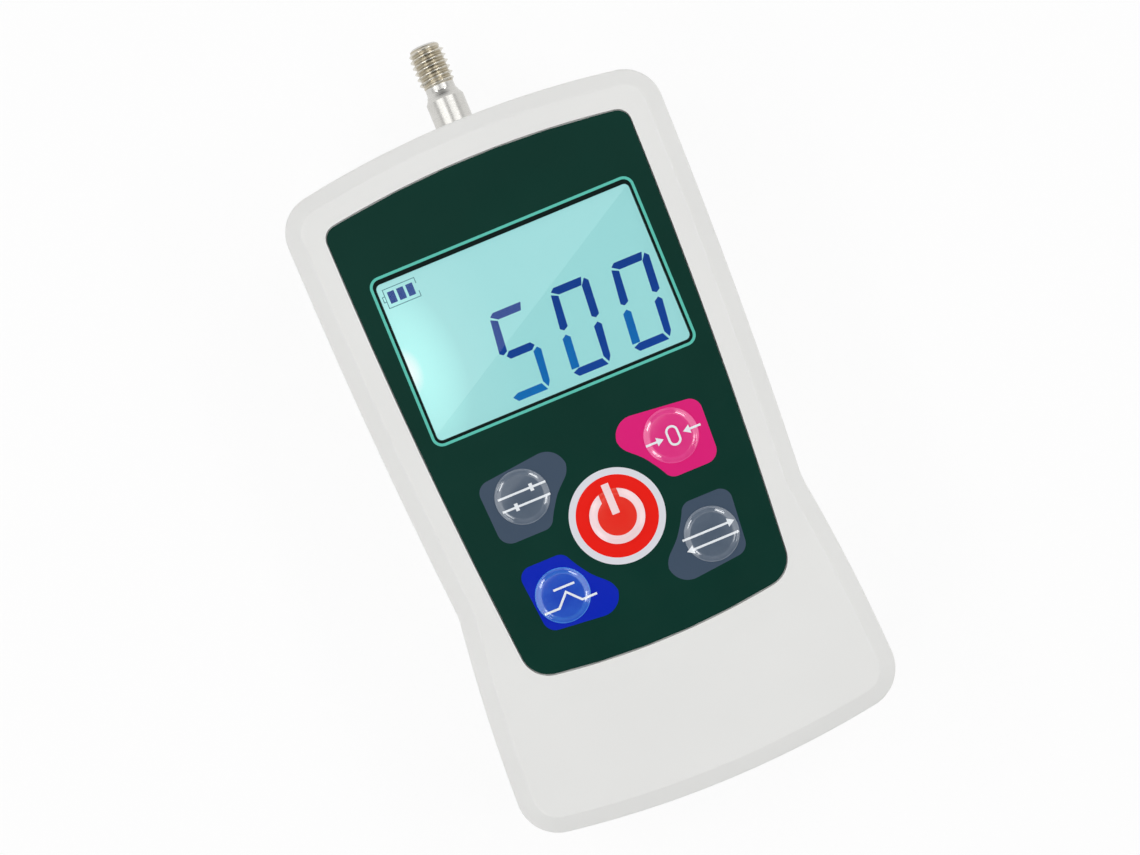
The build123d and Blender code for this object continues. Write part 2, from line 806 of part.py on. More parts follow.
# ---- Chassis: steel plate with an upright and two gussets that take the load ----
with BuildPart() as chassis_plate:
    with BuildSketch(Plane.XY.offset(chassis_level)) as chassis_plan:
        with Locations((0, (chassis_top_y + chassis_bottom_y) / 2)):
            RectangleRounded(chassis_width, chassis_top_y - chassis_bottom_y, chassis_corner)
        with Locations(*mount_points):
            Circle(bush_radius + bush_fit, mode=Mode.SUBTRACT)
        with Locations(*chassis_screw_points):
            Circle(chassis_screw_radius + through_clearance, mode=Mode.SUBTRACT)
    extrude(amount=chassis_thickness)
    with BuildSketch(Plane.XZ.offset(-upright_y)):
        with Locations((0, chassis_top_level)):
            Rectangle(
                upright_width,
                cell_top_level - chassis_top_level,
                align=(Align.CENTER, Align.MIN),
            )
        with Locations((0, spindle_level)):
            Circle(cell_bolt_radius + through_clearance, mode=Mode.SUBTRACT)
    extrude(amount=-upright_thickness)
    for side in (-1, 1):
        with BuildSketch(Plane.YZ.offset(side * gusset_x)):
            with BuildLine():
                Polyline(
                    (upright_y, chassis_top_level),
                    (upright_y, cell_top_level),
                    (upright_y - gusset_length, chassis_top_level),
                    close=True,
                )
            make_face()
        extrude(amount=gusset_thickness / 2, both=True)
save(chassis_plate, "chassis_plate")

# ---- Cell bolt: socket-head bolt through the upright into the load cell ----
with BuildPart() as cell_bolt:
    with BuildSketch(Plane.XZ.offset(-upright_y)):
        with Locations((0, spindle_level)):
            Circle(cell_bolt_radius)
    extrude(amount=-cell_bolt_length)
    with BuildSketch(Plane.XZ.offset(-upright_y)):
        with Locations((0, spindle_level)):
            Circle(cell_bolt_head_radius)
    extrude(amount=cell_bolt_head_height)
    with BuildSketch(Plane.XZ.offset(cell_bolt_head_height - upright_y)):
        with Locations((0, spindle_level)):
            RegularPolygon(cell_bolt_socket, 6)
    extrude(amount=-cell_bolt_head_height / 2, mode=Mode.SUBTRACT)
save(cell_bolt, "cell_bolt")

# ---- Chassis screws: four self-tappers from the plate into the rear shell ----
with BuildPart() as chassis_screws:
    with BuildSketch(Plane.XY.offset(chassis_top_level)):
        with Locations(*chassis_screw_points):
            Circle(chassis_screw_radius)
    extrude(amount=-chassis_screw_length)
    with BuildSketch(Plane.XY.offset(chassis_top_level)):
        with Locations(*chassis_screw_points):
            Circle(chassis_screw_head_radius)
    extrude(amount=chassis_screw_head_height)
save(chassis_screws, "chassis_screws")

# ---- Mounting bushes: threaded steel, pressed into the plate and open at the back ----
with BuildPart() as mount_bushes:
    with BuildSketch(Plane.XY.offset(bush_recess)):
        with Locations(*mount_points):
            Circle(bush_radius)
            Circle(mount_core_radius, mode=Mode.SUBTRACT)
    extrude(amount=chassis_top_level - bush_recess)
save(mount_bushes, "mount_bushes")

# ---- Spindle: turned stainless steel, threaded at both ends ----
spindle_start_y = cell_top_y - spindle_engagement
shank_start_y = cell_top_y + nut_thickness
shank_end_y = top_y + shank_reach
neck_start_y = shank_end_y + shank_chamfer
thread_start_y = neck_start_y + neck_length
thread_end_y = thread_start_y + thread_length
with BuildPart() as spindle:
    with BuildSketch(Plane.XY.offset(spindle_level)):
        with BuildLine():
            Polyline(
                (0, spindle_start_y),
                (spindle_thread_radius, spindle_start_y),
                (spindle_thread_radius, shank_start_y),
                (spindle_radius, shank_start_y),
                (spindle_radius, shank_end_y),
                (spindle_neck_radius, neck_start_y),
                (spindle_neck_radius, thread_start_y),
                (spindle_thread_radius, thread_start_y),
                (spindle_thread_radius, thread_end_y),
                (spindle_thread_radius - tip_chamfer, thread_end_y + tip_chamfer),
                (0, thread_end_y + tip_chamfer),
                close=True,
            )
        make_face()
    revolve(axis=Axis((0, 0, spindle_level), (0, 1, 0)))
save(spindle, "spindle")

# ---- Spindle nut: thin hexagon that locks the spindle against the load cell ----
with BuildPart() as spindle_nut:
    with BuildSketch(Plane.XZ.offset(-cell_top_y)):
        with Locations((0, spindle_level)):
            RegularPolygon(nut_flats / 2, 6, major_radius=False)
            Circle(spindle_thread_radius + thread_clearance, mode=Mode.SUBTRACT)
    extrude(amount=-nut_thickness)
save(spindle_nut, "spindle_nut")

# ---- Battery: cells side by side, shrink sleeve and a foam pad under them ----
battery_middle_y = battery_top_y - battery_cell_length / 2
with BuildPart() as battery_cells:
    with BuildSketch(Plane.XZ.offset(-battery_top_y)):
        with Locations((0, battery_axis_level)):
            with GridLocations(battery_pitch, 0, battery_count, 1):
                Circle(battery_cell_radius)
    extrude(amount=battery_cell_length)
    with BuildSketch(Plane.XZ.offset(-battery_top_y)):
        with Locations((0, battery_axis_level)):
            with GridLocations(battery_pitch, 0, battery_count, 1):
                Circle(battery_button_radius)
    extrude(amount=-battery_button_height)
save(battery_cells, "battery_cells")

battery_span = (battery_count - 1) * battery_pitch
with BuildPart() as battery_sleeve:
    with BuildSketch(Plane.XZ.offset(-battery_top_y)):
        with Locations((0, battery_axis_level)):
            SlotCenterToCenter(battery_span, 2 * sleeve_outer_radius)
            SlotCenterToCenter(battery_span, 2 * sleeve_inner_radius, mode=Mode.SUBTRACT)
    extrude(amount=battery_cell_length)
save(battery_sleeve, "battery_sleeve")

with BuildPart() as battery_pad:
    with BuildSketch(Plane.XY.offset(back_wall)):
        with Locations((0, battery_middle_y)):
            Rectangle(pad_width, pad_length)
    extrude(amount=pad_thickness)
save(battery_pad, "battery_pad")

# ---- Charging board and socket ----
with BuildPart() as charge_board:
    with BuildSketch(Plane.XY.offset(charge_board_level)):
        with Locations((0, charge_board_y)):
            Rectangle(charge_board_width, charge_board_length)
        with Locations(*charge_screw_points):
            Circle(board_screw_radius + through_clearance, mode=Mode.SUBTRACT)
    extrude(amount=charge_board_thickness)
save(charge_board, "charge_board")

socket_mouth_y = bottom_y + socket_setback
with BuildPart() as charge_socket:
    with BuildSketch(Plane.XZ.offset(-socket_mouth_y)):
        with Locations((0, socket_axis_level)):
            RectangleRounded(socket_width, socket_height, socket_height / 2 - socket_wall / 2)
    extrude(amount=-socket_depth)
    with BuildSketch(Plane.XZ.offset(-socket_mouth_y)):
        with Locations((0, socket_axis_level)):
            RectangleRounded(
                socket_width - 2 * socket_wall,
                socket_height - 2 * socket_wall,
                socket_height / 2 - 1.5 * socket_wall,
            )
            Rectangle(socket_tongue_width, socket_tongue, mode=Mode.SUBTRACT)
    extrude(amount=-socket_mouth_depth, mode=Mode.SUBTRACT)
save(charge_socket, "charge_socket")


def make_wires(route, bends, radius, places):
    """Wires of one radius along a route of straight runs and tangent arcs, side by side in X."""
    with BuildPart() as wires:
        for place in places:
            points = [(x + place, y, z) for x, y, z in route]
            with BuildLine() as path:
                FilletPolyline(*points, radius=bends)
            with BuildSketch(Plane(origin=path.line @ 0, z_dir=path.line % 0)):
                Circle(radius)
            sweep(path=path.line)
    return wires


# ---- Leads: each runs from its source to a header on the back of the board ----
wire_pair = (-wire_spacing / 2, wire_spacing / 2)
header_axis_level = board_level - header_height / 2
header_face_y = lead_header_y - header_depth / 2
battery_bottom_y = battery_top_y - battery_cell_length
battery_lead_y = battery_bottom_y - battery_lead_drop
battery_route = [
    (-lead_header_x, battery_bottom_y, battery_axis_level),
    (-lead_header_x, battery_lead_y, battery_axis_level),
    (-lead_header_x, battery_lead_y, header_axis_level),
    (-lead_header_x, header_face_y, header_axis_level),
]
save(make_wires(battery_route, wire_bend, wire_radius, wire_pair), "battery_lead")

charge_route = [
    (charge_lead_x, charge_board_y, socket_level),
    (charge_lead_x, charge_board_y, header_axis_level),
    (charge_lead_x, header_face_y, header_axis_level),
]
save(make_wires(charge_route, wire_bend, wire_radius, wire_pair), "charge_lead")

cell_side_x = cell_width / 2
cell_lead_x = cell_side_x + cell_lead_stand_off
cell_header_face_y = cell_header_y + header_depth / 2
cell_route = [
    (cell_side_x, cell_middle_y, spindle_level),
    (cell_lead_x, cell_middle_y, spindle_level),
    (cell_lead_x, cell_header_face_y + cell_lead_climb, header_axis_level),
    (cell_lead_x, cell_header_face_y, header_axis_level),
]
save(make_wires(cell_route, cell_lead_bend, cell_lead_radius, [0]), "load_cell_lead")
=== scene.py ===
import math

import bmesh
import bpy
from mathutils import Matrix, Vector
from mathutils.geometry import delaunay_2d_cdt


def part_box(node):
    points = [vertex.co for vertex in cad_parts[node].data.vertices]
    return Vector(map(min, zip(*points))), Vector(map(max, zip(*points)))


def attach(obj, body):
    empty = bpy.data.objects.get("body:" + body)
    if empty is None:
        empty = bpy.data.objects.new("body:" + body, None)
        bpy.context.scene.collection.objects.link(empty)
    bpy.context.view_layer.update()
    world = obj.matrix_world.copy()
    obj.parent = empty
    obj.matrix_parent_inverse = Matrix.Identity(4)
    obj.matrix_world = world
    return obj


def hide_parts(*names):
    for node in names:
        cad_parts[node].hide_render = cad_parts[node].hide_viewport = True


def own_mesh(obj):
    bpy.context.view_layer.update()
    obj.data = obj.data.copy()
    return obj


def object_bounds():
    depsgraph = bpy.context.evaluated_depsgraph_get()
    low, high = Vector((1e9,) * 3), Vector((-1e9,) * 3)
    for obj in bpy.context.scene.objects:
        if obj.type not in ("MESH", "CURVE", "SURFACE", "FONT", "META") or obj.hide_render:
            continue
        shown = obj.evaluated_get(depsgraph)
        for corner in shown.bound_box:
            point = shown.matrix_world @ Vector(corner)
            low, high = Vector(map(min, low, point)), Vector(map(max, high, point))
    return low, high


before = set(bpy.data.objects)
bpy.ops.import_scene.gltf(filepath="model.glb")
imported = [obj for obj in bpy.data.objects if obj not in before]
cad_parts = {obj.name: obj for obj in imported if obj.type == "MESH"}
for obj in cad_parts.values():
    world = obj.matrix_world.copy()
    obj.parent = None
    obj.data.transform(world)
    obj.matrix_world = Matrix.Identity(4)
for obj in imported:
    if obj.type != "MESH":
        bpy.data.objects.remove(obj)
cad_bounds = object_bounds()

# ---- Camera ----
# It looks straight down on the gauge from about half a metre above the bench.
# The gauge lies turned a little anticlockwise in its view.
mm = 0.001
eye = Vector((-1.57, 4.63, 481.9))
camera_turn = -22.456
lens_length = 90.1


def add_object(name, data):
    """A new object in the scene."""
    item = bpy.data.objects.new(name, data)
    bpy.context.scene.collection.objects.link(item)
    return item


camera = add_object("camera", bpy.data.cameras.new("camera"))
camera.data.lens = lens_length
camera.location = eye * mm
camera.rotation_euler = (0, 0, math.radians(camera_turn))
bpy.context.scene.camera = camera
bpy.context.scene.view_settings.view_transform = "Standard"

# ---- Studio ----
# A white room with a dim ceiling, four narrow softboxes in its corners and two broad ones beside
# the gauge. One edge of a large white card, high up, is mirrored across the display pane.
horizon_light = 1.0
ceiling_light = 0.1
dimming_heights = (0.1, 0.8)
corner_powers = {41: 0.47, 136: 0.47, 214: 0.44, 328: 0.44}
corner_size = (230, 64)
corner_elevation = 46
side_powers = {0: 1.86, 180: 1.86}
side_size = (640, 640)
side_elevation = 58
softbox_distance = 800
card_height = 930
card_size = (620, 420)
card_power = 0.5
sheen_mark = Vector((5.0, 27.05))
sheen_slope = math.radians(30.3)


def link(tree, *pairs):
    """Joins pairs of sockets in a node tree."""
    for start, end in pairs:
        tree.links.new(start, end)


def feed(tree, socket, value):
    """Links another socket to a socket, or sets it to a plain value."""
    if isinstance(value, bpy.types.NodeSocket):
        tree.links.new(value, socket)
    else:
        socket.default_value = value


def add_map(tree, value, source, target, smooth=False):
    """Maps a value from one range to another. Each end is a number or a socket."""
    mapped = tree.nodes.new("ShaderNodeMapRange")
    if smooth:
        mapped.interpolation_type = "SMOOTHSTEP"
    feed(tree, mapped.inputs["Value"], value)
    for label, end in zip(("From Min", "From Max", "To Min", "To Max"), (*source, *target)):
        feed(tree, mapped.inputs[label], end)
    return mapped.outputs[0]


world = bpy.data.worlds.new("studio")
bpy.context.scene.world = world
world.use_nodes = True
sky = world.node_tree
split = sky.nodes.new("ShaderNodeSeparateXYZ")
link(sky, (sky.nodes.new("ShaderNodeTexCoord").outputs["Generated"], split.inputs[0]))
sky_lights = (horizon_light, ceiling_light)
sky_light = add_map(sky, split.outputs["Z"], dimming_heights, sky_lights, smooth=True)
link(sky, (sky_light, sky.nodes["Background"].inputs["Color"]))

gauge_middle = (Vector(cad_bounds[0]) + Vector(cad_bounds[1])) / 2


def add_lamp(name, size, power):
    """A rectangular area light. Its size is in millimetres and its power in watts."""
    lamp = bpy.data.lights.new(name, "AREA")
    lamp.shape = "RECTANGLE"
    lamp.size, lamp.size_y = (length * mm for length in size)
    lamp.energy = power
    return add_object(name, lamp)


def add_softboxes(name, powers, elevation, size):
    """Lamps round the gauge, one at each azimuth, all turned towards it."""
    flat = math.cos(math.radians(elevation))
    rise = math.sin(math.radians(elevation))
    for azimuth, power in powers.items():
        turn = math.radians(azimuth)
        way = Vector((math.cos(turn) * flat, math.sin(turn) * flat, rise))
        box = add_lamp(f"{name}_{azimuth}", size, power)
        box.location = gauge_middle + way * softbox_distance * mm
        box.rotation_euler = way.to_track_quat("Z", "Y").to_euler()


add_softboxes("corner", corner_powers, corner_elevation, corner_size)
add_softboxes("side", side_powers, side_elevation, side_size)

pane_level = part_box("display_pane")[1].z / mm
times = (card_height - pane_level) / (eye.z - pane_level)
mirrored = sheen_mark + (sheen_mark - eye.xy) * times
across = Vector((-math.sin(sheen_slope), math.cos(sheen_slope)))
card_middle = mirrored + across * card_size[1] / 2
card = add_lamp("white_card", card_size, card_power)
card.location = (card_middle.x * mm, card_middle.y * mm, card_height * mm)
card.rotation_euler = (0, 0, sheen_slope)

# ---- Bench top ----
# A sheet of matt white laminate that keeps a soft shadow. It is open under the middle of the
# gauge and clear from below, so that the gauge's back can be seen too.
bench_opening = (
    (0, 53.1),
    (22.5, 52.3),
    (27.2, 50.2),
    (28.6, 47.0),
    (27.7, 12.0),
    (26.1, -16.5),
    (28.6, -45.0),
    (27.2, -50.4),
    (22.5, -52.2),
    (0, -53.1),
)
bench_spread = 110
bench_colour = (0.9, 0.9, 0.9, 1)
bench_roughness = 0.9
bench_whiteness = 0.9


def finish_form(form, name):
    """Turns a form into a mesh and lets the form go."""
    mesh = bpy.data.meshes.new(name)
    form.to_mesh(mesh)
    form.free()
    return mesh


def start_material(name):
    """A new material, with its node tree and its Principled shader."""
    material = bpy.data.materials.new(name)
    material.use_nodes = True
    return material, material.node_tree, material.node_tree.nodes["Principled BSDF"]


def set_sockets(node, values):
    """Sets a node's own sockets to plain values."""
    for label, value in values.items():
        node.inputs[label].default_value = value


def add_math(tree, operation, first, second):
    """One sum of two values, each a number or a socket."""
    step = tree.nodes.new("ShaderNodeMath")
    step.operation = operation
    feed(tree, step.inputs[0], first)
    feed(tree, step.inputs[1], second)
    return step.outputs[0]


def add_layer(tree, share, under, over):
    """A mix of two shaders, with a share of the one that lies over."""
    mix = tree.nodes.new("ShaderNodeMixShader")
    link(tree, *zip((share, under, over), mix.inputs))
    return mix.outputs[0]


form = bmesh.new()
opening = [*bench_opening, *((-x, y) for x, y in bench_opening[-2:0:-1])]
inner, outer = (
    [form.verts.new((x * spread * mm, y * spread * mm, 0)) for x, y in opening]
    for spread in (1, bench_spread)
)
for place in range(len(opening)):
    after = (place + 1) % len(opening)
    form.faces.new((inner[place], inner[after], outer[after], outer[place]))
bench = add_object("bench", finish_form(form, "bench"))
bench_laminate, tree, laminate = start_material("bench_laminate")
set_sockets(laminate, {"Base Color": bench_colour, "Roughness": bench_roughness})
rays = tree.nodes.new("ShaderNodeLightPath").outputs
seen = add_math(tree, "MAXIMUM", rays["Is Camera Ray"], rays["Is Glossy Ray"])
seen = add_math(tree, "MAXIMUM", seen, rays["Is Transmission Ray"])
share = add_math(tree, "MULTIPLY", seen, bench_whiteness)
glow = tree.nodes.new("ShaderNodeEmission").outputs[0]
clear = tree.nodes.new("ShaderNodeBsdfTransparent").outputs[0]
below = tree.nodes.new("ShaderNodeNewGeometry").outputs["Backfacing"]
bench_top = add_layer(tree, share, laminate.outputs[0], glow)
bench_sides = add_layer(tree, below, bench_top, clear)
link(tree, (bench_sides, tree.nodes["Material Output"].inputs["Surface"]))
bench.data.materials.append(bench_laminate)

# ---- Shells ----
# Two halves of light grey ABS, injection moulded with a fine spark texture on the outside.
# Four screws from the back close them on a lip along the parting line.
shell_colour = (0.79, 0.79, 0.775)
shell_roughness = 0.42
shell_grain = 0.16
shell_grain_depth = 0.006
shell_tone = 0.02
tone_drifts_per_metre = 60.0
gloss_drifts_per_metre = 220.0
noise_middle = (0.3, 0.7)
socket_kinds = {
    "Colour": "NodeSocketColor",
    "Veil And Sheen Colour": "NodeSocketColor",
    "Groove Shade Colour": "NodeSocketColor",
    "Middle": "NodeSocketVector",
    "Stretch": "NodeSocketVector",
    "Axis": "NodeSocketVector",
    "Normal": "NodeSocketVector",
}


def start_group(name, inputs, outputs=("Colour", "Roughness", "Normal")):
    """A shader node group: its tree, the place on the object, and what it is given and puts out."""
    group = bpy.data.node_groups.new(name, "ShaderNodeTree")
    for way, labels in (("INPUT", inputs), ("OUTPUT", outputs)):
        for label in labels:
            kind = socket_kinds.get(label, "NodeSocketFloat")
            group.interface.new_socket(label, in_out=way, socket_type=kind)
    place = group.nodes.new("ShaderNodeTexCoord").outputs["Object"]
    given = group.nodes.new("NodeGroupInput").outputs
    made = group.nodes.new("NodeGroupOutput").inputs
    return group, place, given, made


def add_noise(tree, place, scale, detail=2.0):
    """A noise texture on the given coordinates. The scale is a number or a socket."""
    noise = tree.nodes.new("ShaderNodeTexNoise")
    noise.inputs["Detail"].default_value = detail
    feed(tree, noise.inputs["Vector"], place)
    feed(tree, noise.inputs["Scale"], scale)
    return noise.outputs["Fac"]


def add_range(tree, noise, low, high):
    """Stretches the middle of a noise to run from low to high, each a number or a socket."""
    return add_map(tree, noise, noise_middle, (low, high))


def add_drift(tree, place, scale, low, high, detail=2.0):
    """A value that drifts from low to high over the object."""
    return add_range(tree, add_noise(tree, place, scale, detail), low, high)


def add_vector(tree, operation, first, second):
    """One step with two vectors, or with a vector and the number that scales it."""
    step = tree.nodes.new("ShaderNodeVectorMath")
    step.operation = operation
    feed(tree, step.inputs[0], first)
    feed(tree, step.inputs["Scale" if operation == "SCALE" else 1], second)
    return step.outputs["Vector"]


def add_shade(tree, colour, noise, depth):
    """A colour that a noise darkens, by a share of at most depth."""
    lightness = add_range(tree, noise, add_math(tree, "SUBTRACT", 1.0, depth), 1.0)
    return add_vector(tree, "SCALE", colour, lightness)


def end_group(group, given, made, colour, gloss, height, depth):
    """Ends a group with a colour, its roughness with a drift of gloss, and the normal of a bump."""
    bump = group.nodes.new("ShaderNodeBump")
    feed(group, bump.inputs["Height"], height)
    feed(group, bump.inputs["Distance"], depth)
    link(
        group,
        (colour, made["Colour"]),
        (add_math(group, "ADD", given["Roughness"], gloss), made["Roughness"]),
        (bump.outputs[0], made["Normal"]),
    )
    return group


def build_moulded_skin():
    """Moulded plastic: a fine grain in the normal, with slight drifts of tone and of gloss."""
    inputs = ("Colour", "Tone", "Roughness", "Gloss Drift", "Grains per Metre", "Grain Depth")
    group, place, given, made = start_group("moulded_skin", inputs)
    drift = add_noise(group, place, tone_drifts_per_metre)
    shade = add_shade(group, given["Colour"], drift, given["Tone"])
    gloss = add_drift(group, place, gloss_drifts_per_metre, 0.0, given["Gloss Drift"])
    grain = add_noise(group, place, given["Grains per Metre"])
    return end_group(group, given, made, shade, gloss, grain, given["Grain Depth"])


moulded_skin = build_moulded_skin()


def make_finish(name, effect, settings, constants):
    """A material with one Principled shader, fed by one effect group where no constant is given."""
    material, tree, shader = start_material(name)
    group = tree.nodes.new("ShaderNodeGroup")
    group.node_tree = effect
    set_sockets(group, settings)
    set_sockets(shader, constants)
    for output in group.outputs:
        label = "Base Color" if output.name == "Colour" else output.name
        if label not in constants:
            tree.links.new(output, shader.inputs[label])
    return material


def make_plastic(
    name, colour, roughness, grain=0.2, grain_depth=0.004, tone=0.03, gloss_drift=0.05, **constants
):
    """Moulded or printed plastic. The grain's size and depth are in millimetres."""
    settings = {
        "Colour": (*colour, 1),
        "Tone": tone,
        "Roughness": roughness,
        "Gloss Drift": gloss_drift,
        "Grains per Metre": 1 / (grain * mm),
        "Grain Depth": grain_depth * mm,
    }
    return make_finish(name, moulded_skin, settings, constants)


def dress(material, *nodes):
    """Gives carried-over solids their finish."""
    for node in nodes:
        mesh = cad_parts[node].data
        mesh.materials.clear()
        mesh.materials.append(material)


shell_plastic = make_plastic(
    "shell_plastic", shell_colour, shell_roughness, shell_grain, shell_grain_depth, shell_tone
)
dress(shell_plastic, "front_shell", "rear_shell")

# ---- Keypad film ----
# A polycarbonate sheet, printed dark green on its back and die-cut to a crowned outline.
# It is glued into the shallow recess of the front shell and goes round the display window.
film_top_y = 50.0
film_top_rise = 2.14
film_bottom_y = -31.8
film_bottom_rise = 2.0
film_top_width = 51.7
film_bottom_width = 44.2
film_side_bulge = 0.86
film_top_radius = 2.2
film_bottom_radius = 4.6
arc_steps = 12
arc_ease = 0.9
film_colour = (0.0015, 0.034, 0.0235)
film_roughness = 0.3
film_grain = 0.25
film_grain_depth = 0.002
window_width = 44.0
window_height = 27.8
window_radius = 1.3
window_y = 23.8
line_width = 0.45
line_colour = (0.085, 0.52, 0.42)
film_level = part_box("keypad_film")[1].z / mm
film_thickness = film_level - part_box("keypad_film")[0].z / mm
outline_tolerance = 0.0001


def round_corners(corners, step=6.0):
    """Closed outline through (x, y, radius) corners, each rounded with a tangent arc."""
    outline = []
    for place, (x, y, radius) in enumerate(corners):
        corner = Vector((x, y))
        before = Vector(corners[place - 1][:2]) - corner
        after = Vector(corners[(place + 1) % len(corners)][:2]) - corner
        turn = math.pi - before.angle(after)
        if radius == 0 or turn < 0.001:
            outline.append((x, y))
            continue
        reach = radius * math.tan(turn / 2)
        start = corner + before.normalized() * reach
        inward = (before.normalized() + after.normalized()).normalized()
        centre = corner + inward * math.hypot(radius, reach)
        side = 1 if before.cross(after) < 0 else -1
        count = max(1, round(math.degrees(turn) / step))
        for part in range(count + 1):
            spoke = start - centre
            spoke.rotate(Matrix.Rotation(side * turn * part / count, 2))
            outline.append(tuple(centre + spoke))
    return outline


def bow(start, end, rise, count):
    """Points between two ends of a shallow arc, each with a little less than the arc's radius."""
    start, end = Vector(start), Vector(end)
    half = (end - start).length / 2
    radius = (half * half + rise * rise) / (2 * rise)
    along = (end - start).normalized()
    out = Vector((along.y, -along.x))
    points = []
    for part in range(1, count):
        reach = half * (2 * part / count - 1)
        height = math.sqrt(radius * radius - reach * reach) - (radius - rise)
        point = (start + end) / 2 + along * reach + out * height
        points.append((point.x, point.y, radius * arc_ease))
    return points


def film_corners():
    """Outline of the film, clockwise from its upper left corner."""
    top = Vector((film_top_width / 2, film_top_y - film_top_rise))
    bottom = Vector((film_bottom_width / 2, film_bottom_y + film_bottom_rise))
    marks = [
        ((-top.x, top.y), film_top_radius, film_top_rise),
        ((top.x, top.y), film_top_radius, film_side_bulge),
        ((bottom.x, bottom.y), film_bottom_radius, film_bottom_rise),
        ((-bottom.x, bottom.y), film_bottom_radius, film_side_bulge),
    ]
    corners = []
    for place, (point, radius, rise) in enumerate(marks):
        after = marks[(place + 1) % len(marks)][0]
        corners.append((*point, radius))
        corners += [(x, y, r) for x, y, r in bow(after, point, rise, arc_steps // 2)][::-1]
    return corners


def block(width, height, radius, centre=(0, 0)):
    """Outline of a rectangle with round corners."""
    x, y = centre
    return round_corners(
        [
            (x + side * width / 2, y + end * height / 2, radius)
            for side, end in ((-1, 1), (1, 1), (1, -1), (-1, -1))
        ]
    )


def ring(radius, centre, count=96):
    """Outline of a circle."""
    return [
        (
            centre[0] + radius * math.cos(2 * math.pi * part / count),
            centre[1] + radius * math.sin(2 * math.pi * part / count),
        )
        for part in range(count)
    ]


def place_piece(name, mesh, material, body="housing", crease=40):
    """Turns a mesh in millimetres into a finished piece on a body. Only its creases stay crisp."""
    mesh.transform(Matrix.Scale(mm, 4))
    mesh.materials.clear()
    mesh.materials.append(material)
    mesh.shade_smooth()
    mesh.set_sharp_from_angle(angle=math.radians(crease))
    piece = add_object(name, mesh)
    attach(piece, body)
    return piece


def is_inside(x, y, outlines):
    """Whether a point lies within an odd number of closed outlines."""
    crossings = 0
    for outline in outlines:
        for (x1, y1), (x2, y2) in zip(outline, outline[1:] + outline[:1]):
            if (y1 > y) != (y2 > y) and x < x1 + (x2 - x1) * (y - y1) / (y2 - y1):
                crossings += 1
    return crossings % 2 == 1


def fill_outlines(outlines):
    """A flat form filling closed outlines. Outlines inside others are holes."""
    points = []
    edges = []
    for outline in outlines:
        first = len(points)
        count = len(outline)
        points += [Vector(point) for point in outline]
        edges += [(first + place, first + (place + 1) % count) for place in range(count)]
    places, _, triangles, *_ = delaunay_2d_cdt(points, edges, [], 1, outline_tolerance)
    form = bmesh.new()
    corners = [form.verts.new((x, y, 0)) for x, y in places]
    for triangle in triangles:
        middle = sum((places[corner] for corner in triangle), Vector((0, 0))) / len(triangle)
        if not is_inside(middle.x, middle.y, outlines):
            continue
        face = form.faces.new([corners[corner] for corner in triangle])
        face.normal_update()
        if face.normal.z < 0:
            face.normal_flip()
    loose = [corner for corner in form.verts if not corner.link_faces]
    bmesh.ops.delete(form, geom=loose, context="VERTS")
    return form


def cut_sheet(name, outlines, top, thickness):
    """A flat sheet, in millimetres, cut to closed outlines. Outlines inside others are holes."""
    form = fill_outlines(outlines)
    bmesh.ops.translate(form, verts=form.verts, vec=(0, 0, top))
    lower = bmesh.ops.extrude_face_region(form, geom=list(form.faces), use_keep_orig=True)
    sunk = [item for item in lower["geom"] if isinstance(item, bmesh.types.BMVert)]
    bmesh.ops.translate(form, verts=sunk, vec=(0, 0, -thickness))
    bmesh.ops.recalc_face_normals(form, faces=form.faces)
    return finish_form(form, name)


def lay_print(name, outlines, finish, slot, top=film_level, thickness=film_thickness):
    """A flat printed part, cut to closed outlines, finished and in its place."""
    piece = place_piece(name, cut_sheet(name, outlines, top, thickness), finish)
    return piece


# ---- Key fields ----
# Coloured fields printed beside each other on the film: grey for settings and for units, pink for
# zero and blue for peak. Their inner sides keep an even distance from the round power key.
key_x = 12.7
upper_key_y = -2.6
lower_key_y = -19.4
power_y = -11.1
field_gap_radius = 10.1
upper_field = [
    (-18.95, 1.55, 2.0),
    (-4.35, 3.1, 3.3),
    (-4.35, -1.45, 3.3),
    (-18.5, -8.88, 2.2),
]
lower_field = [
    (-18.05, -13.2, 1.9),
    (-4.35, -20.85, 3.3),
    (-4.35, -25.25, 3.3),
    (-17.05, -24.0, 2.1),
]
field_side_angles = (137, 156)
field_side_radius = 8.0
field_corner_reach = 10.15
field_corner_radius = 1.9
dome_radius = 4.42
print_roughness = 0.16
print_grain = 0.3
print_grain_depth = 0.001
key_gloss = {"Specular IOR Level": 0.3}
key_colours = {
    "grey": (0.054, 0.082, 0.126),
    "pink": (0.72, 0.014, 0.187),
    "blue": (0.002, 0.018, 0.45),
    "red": (0.84, 0.012, 0.006),
}
key_tones = {"set": "grey", "zero": "pink", "peak": "blue", "unit": "grey", "power": "red"}
key_places = {
    "set": (-key_x, upper_key_y),
    "zero": (key_x, upper_key_y),
    "peak": (-key_x, lower_key_y),
    "unit": (key_x, lower_key_y),
    "power": (0, power_y),
}


def side_points(angles, sign):
    """Corners of a field's hollow side, on a circle round the power key."""
    return [
        (
            field_gap_radius * math.cos(math.radians(angle)),
            power_y + sign * field_gap_radius * math.sin(math.radians(angle)),
            field_side_radius,
        )
        for angle in angles
    ]


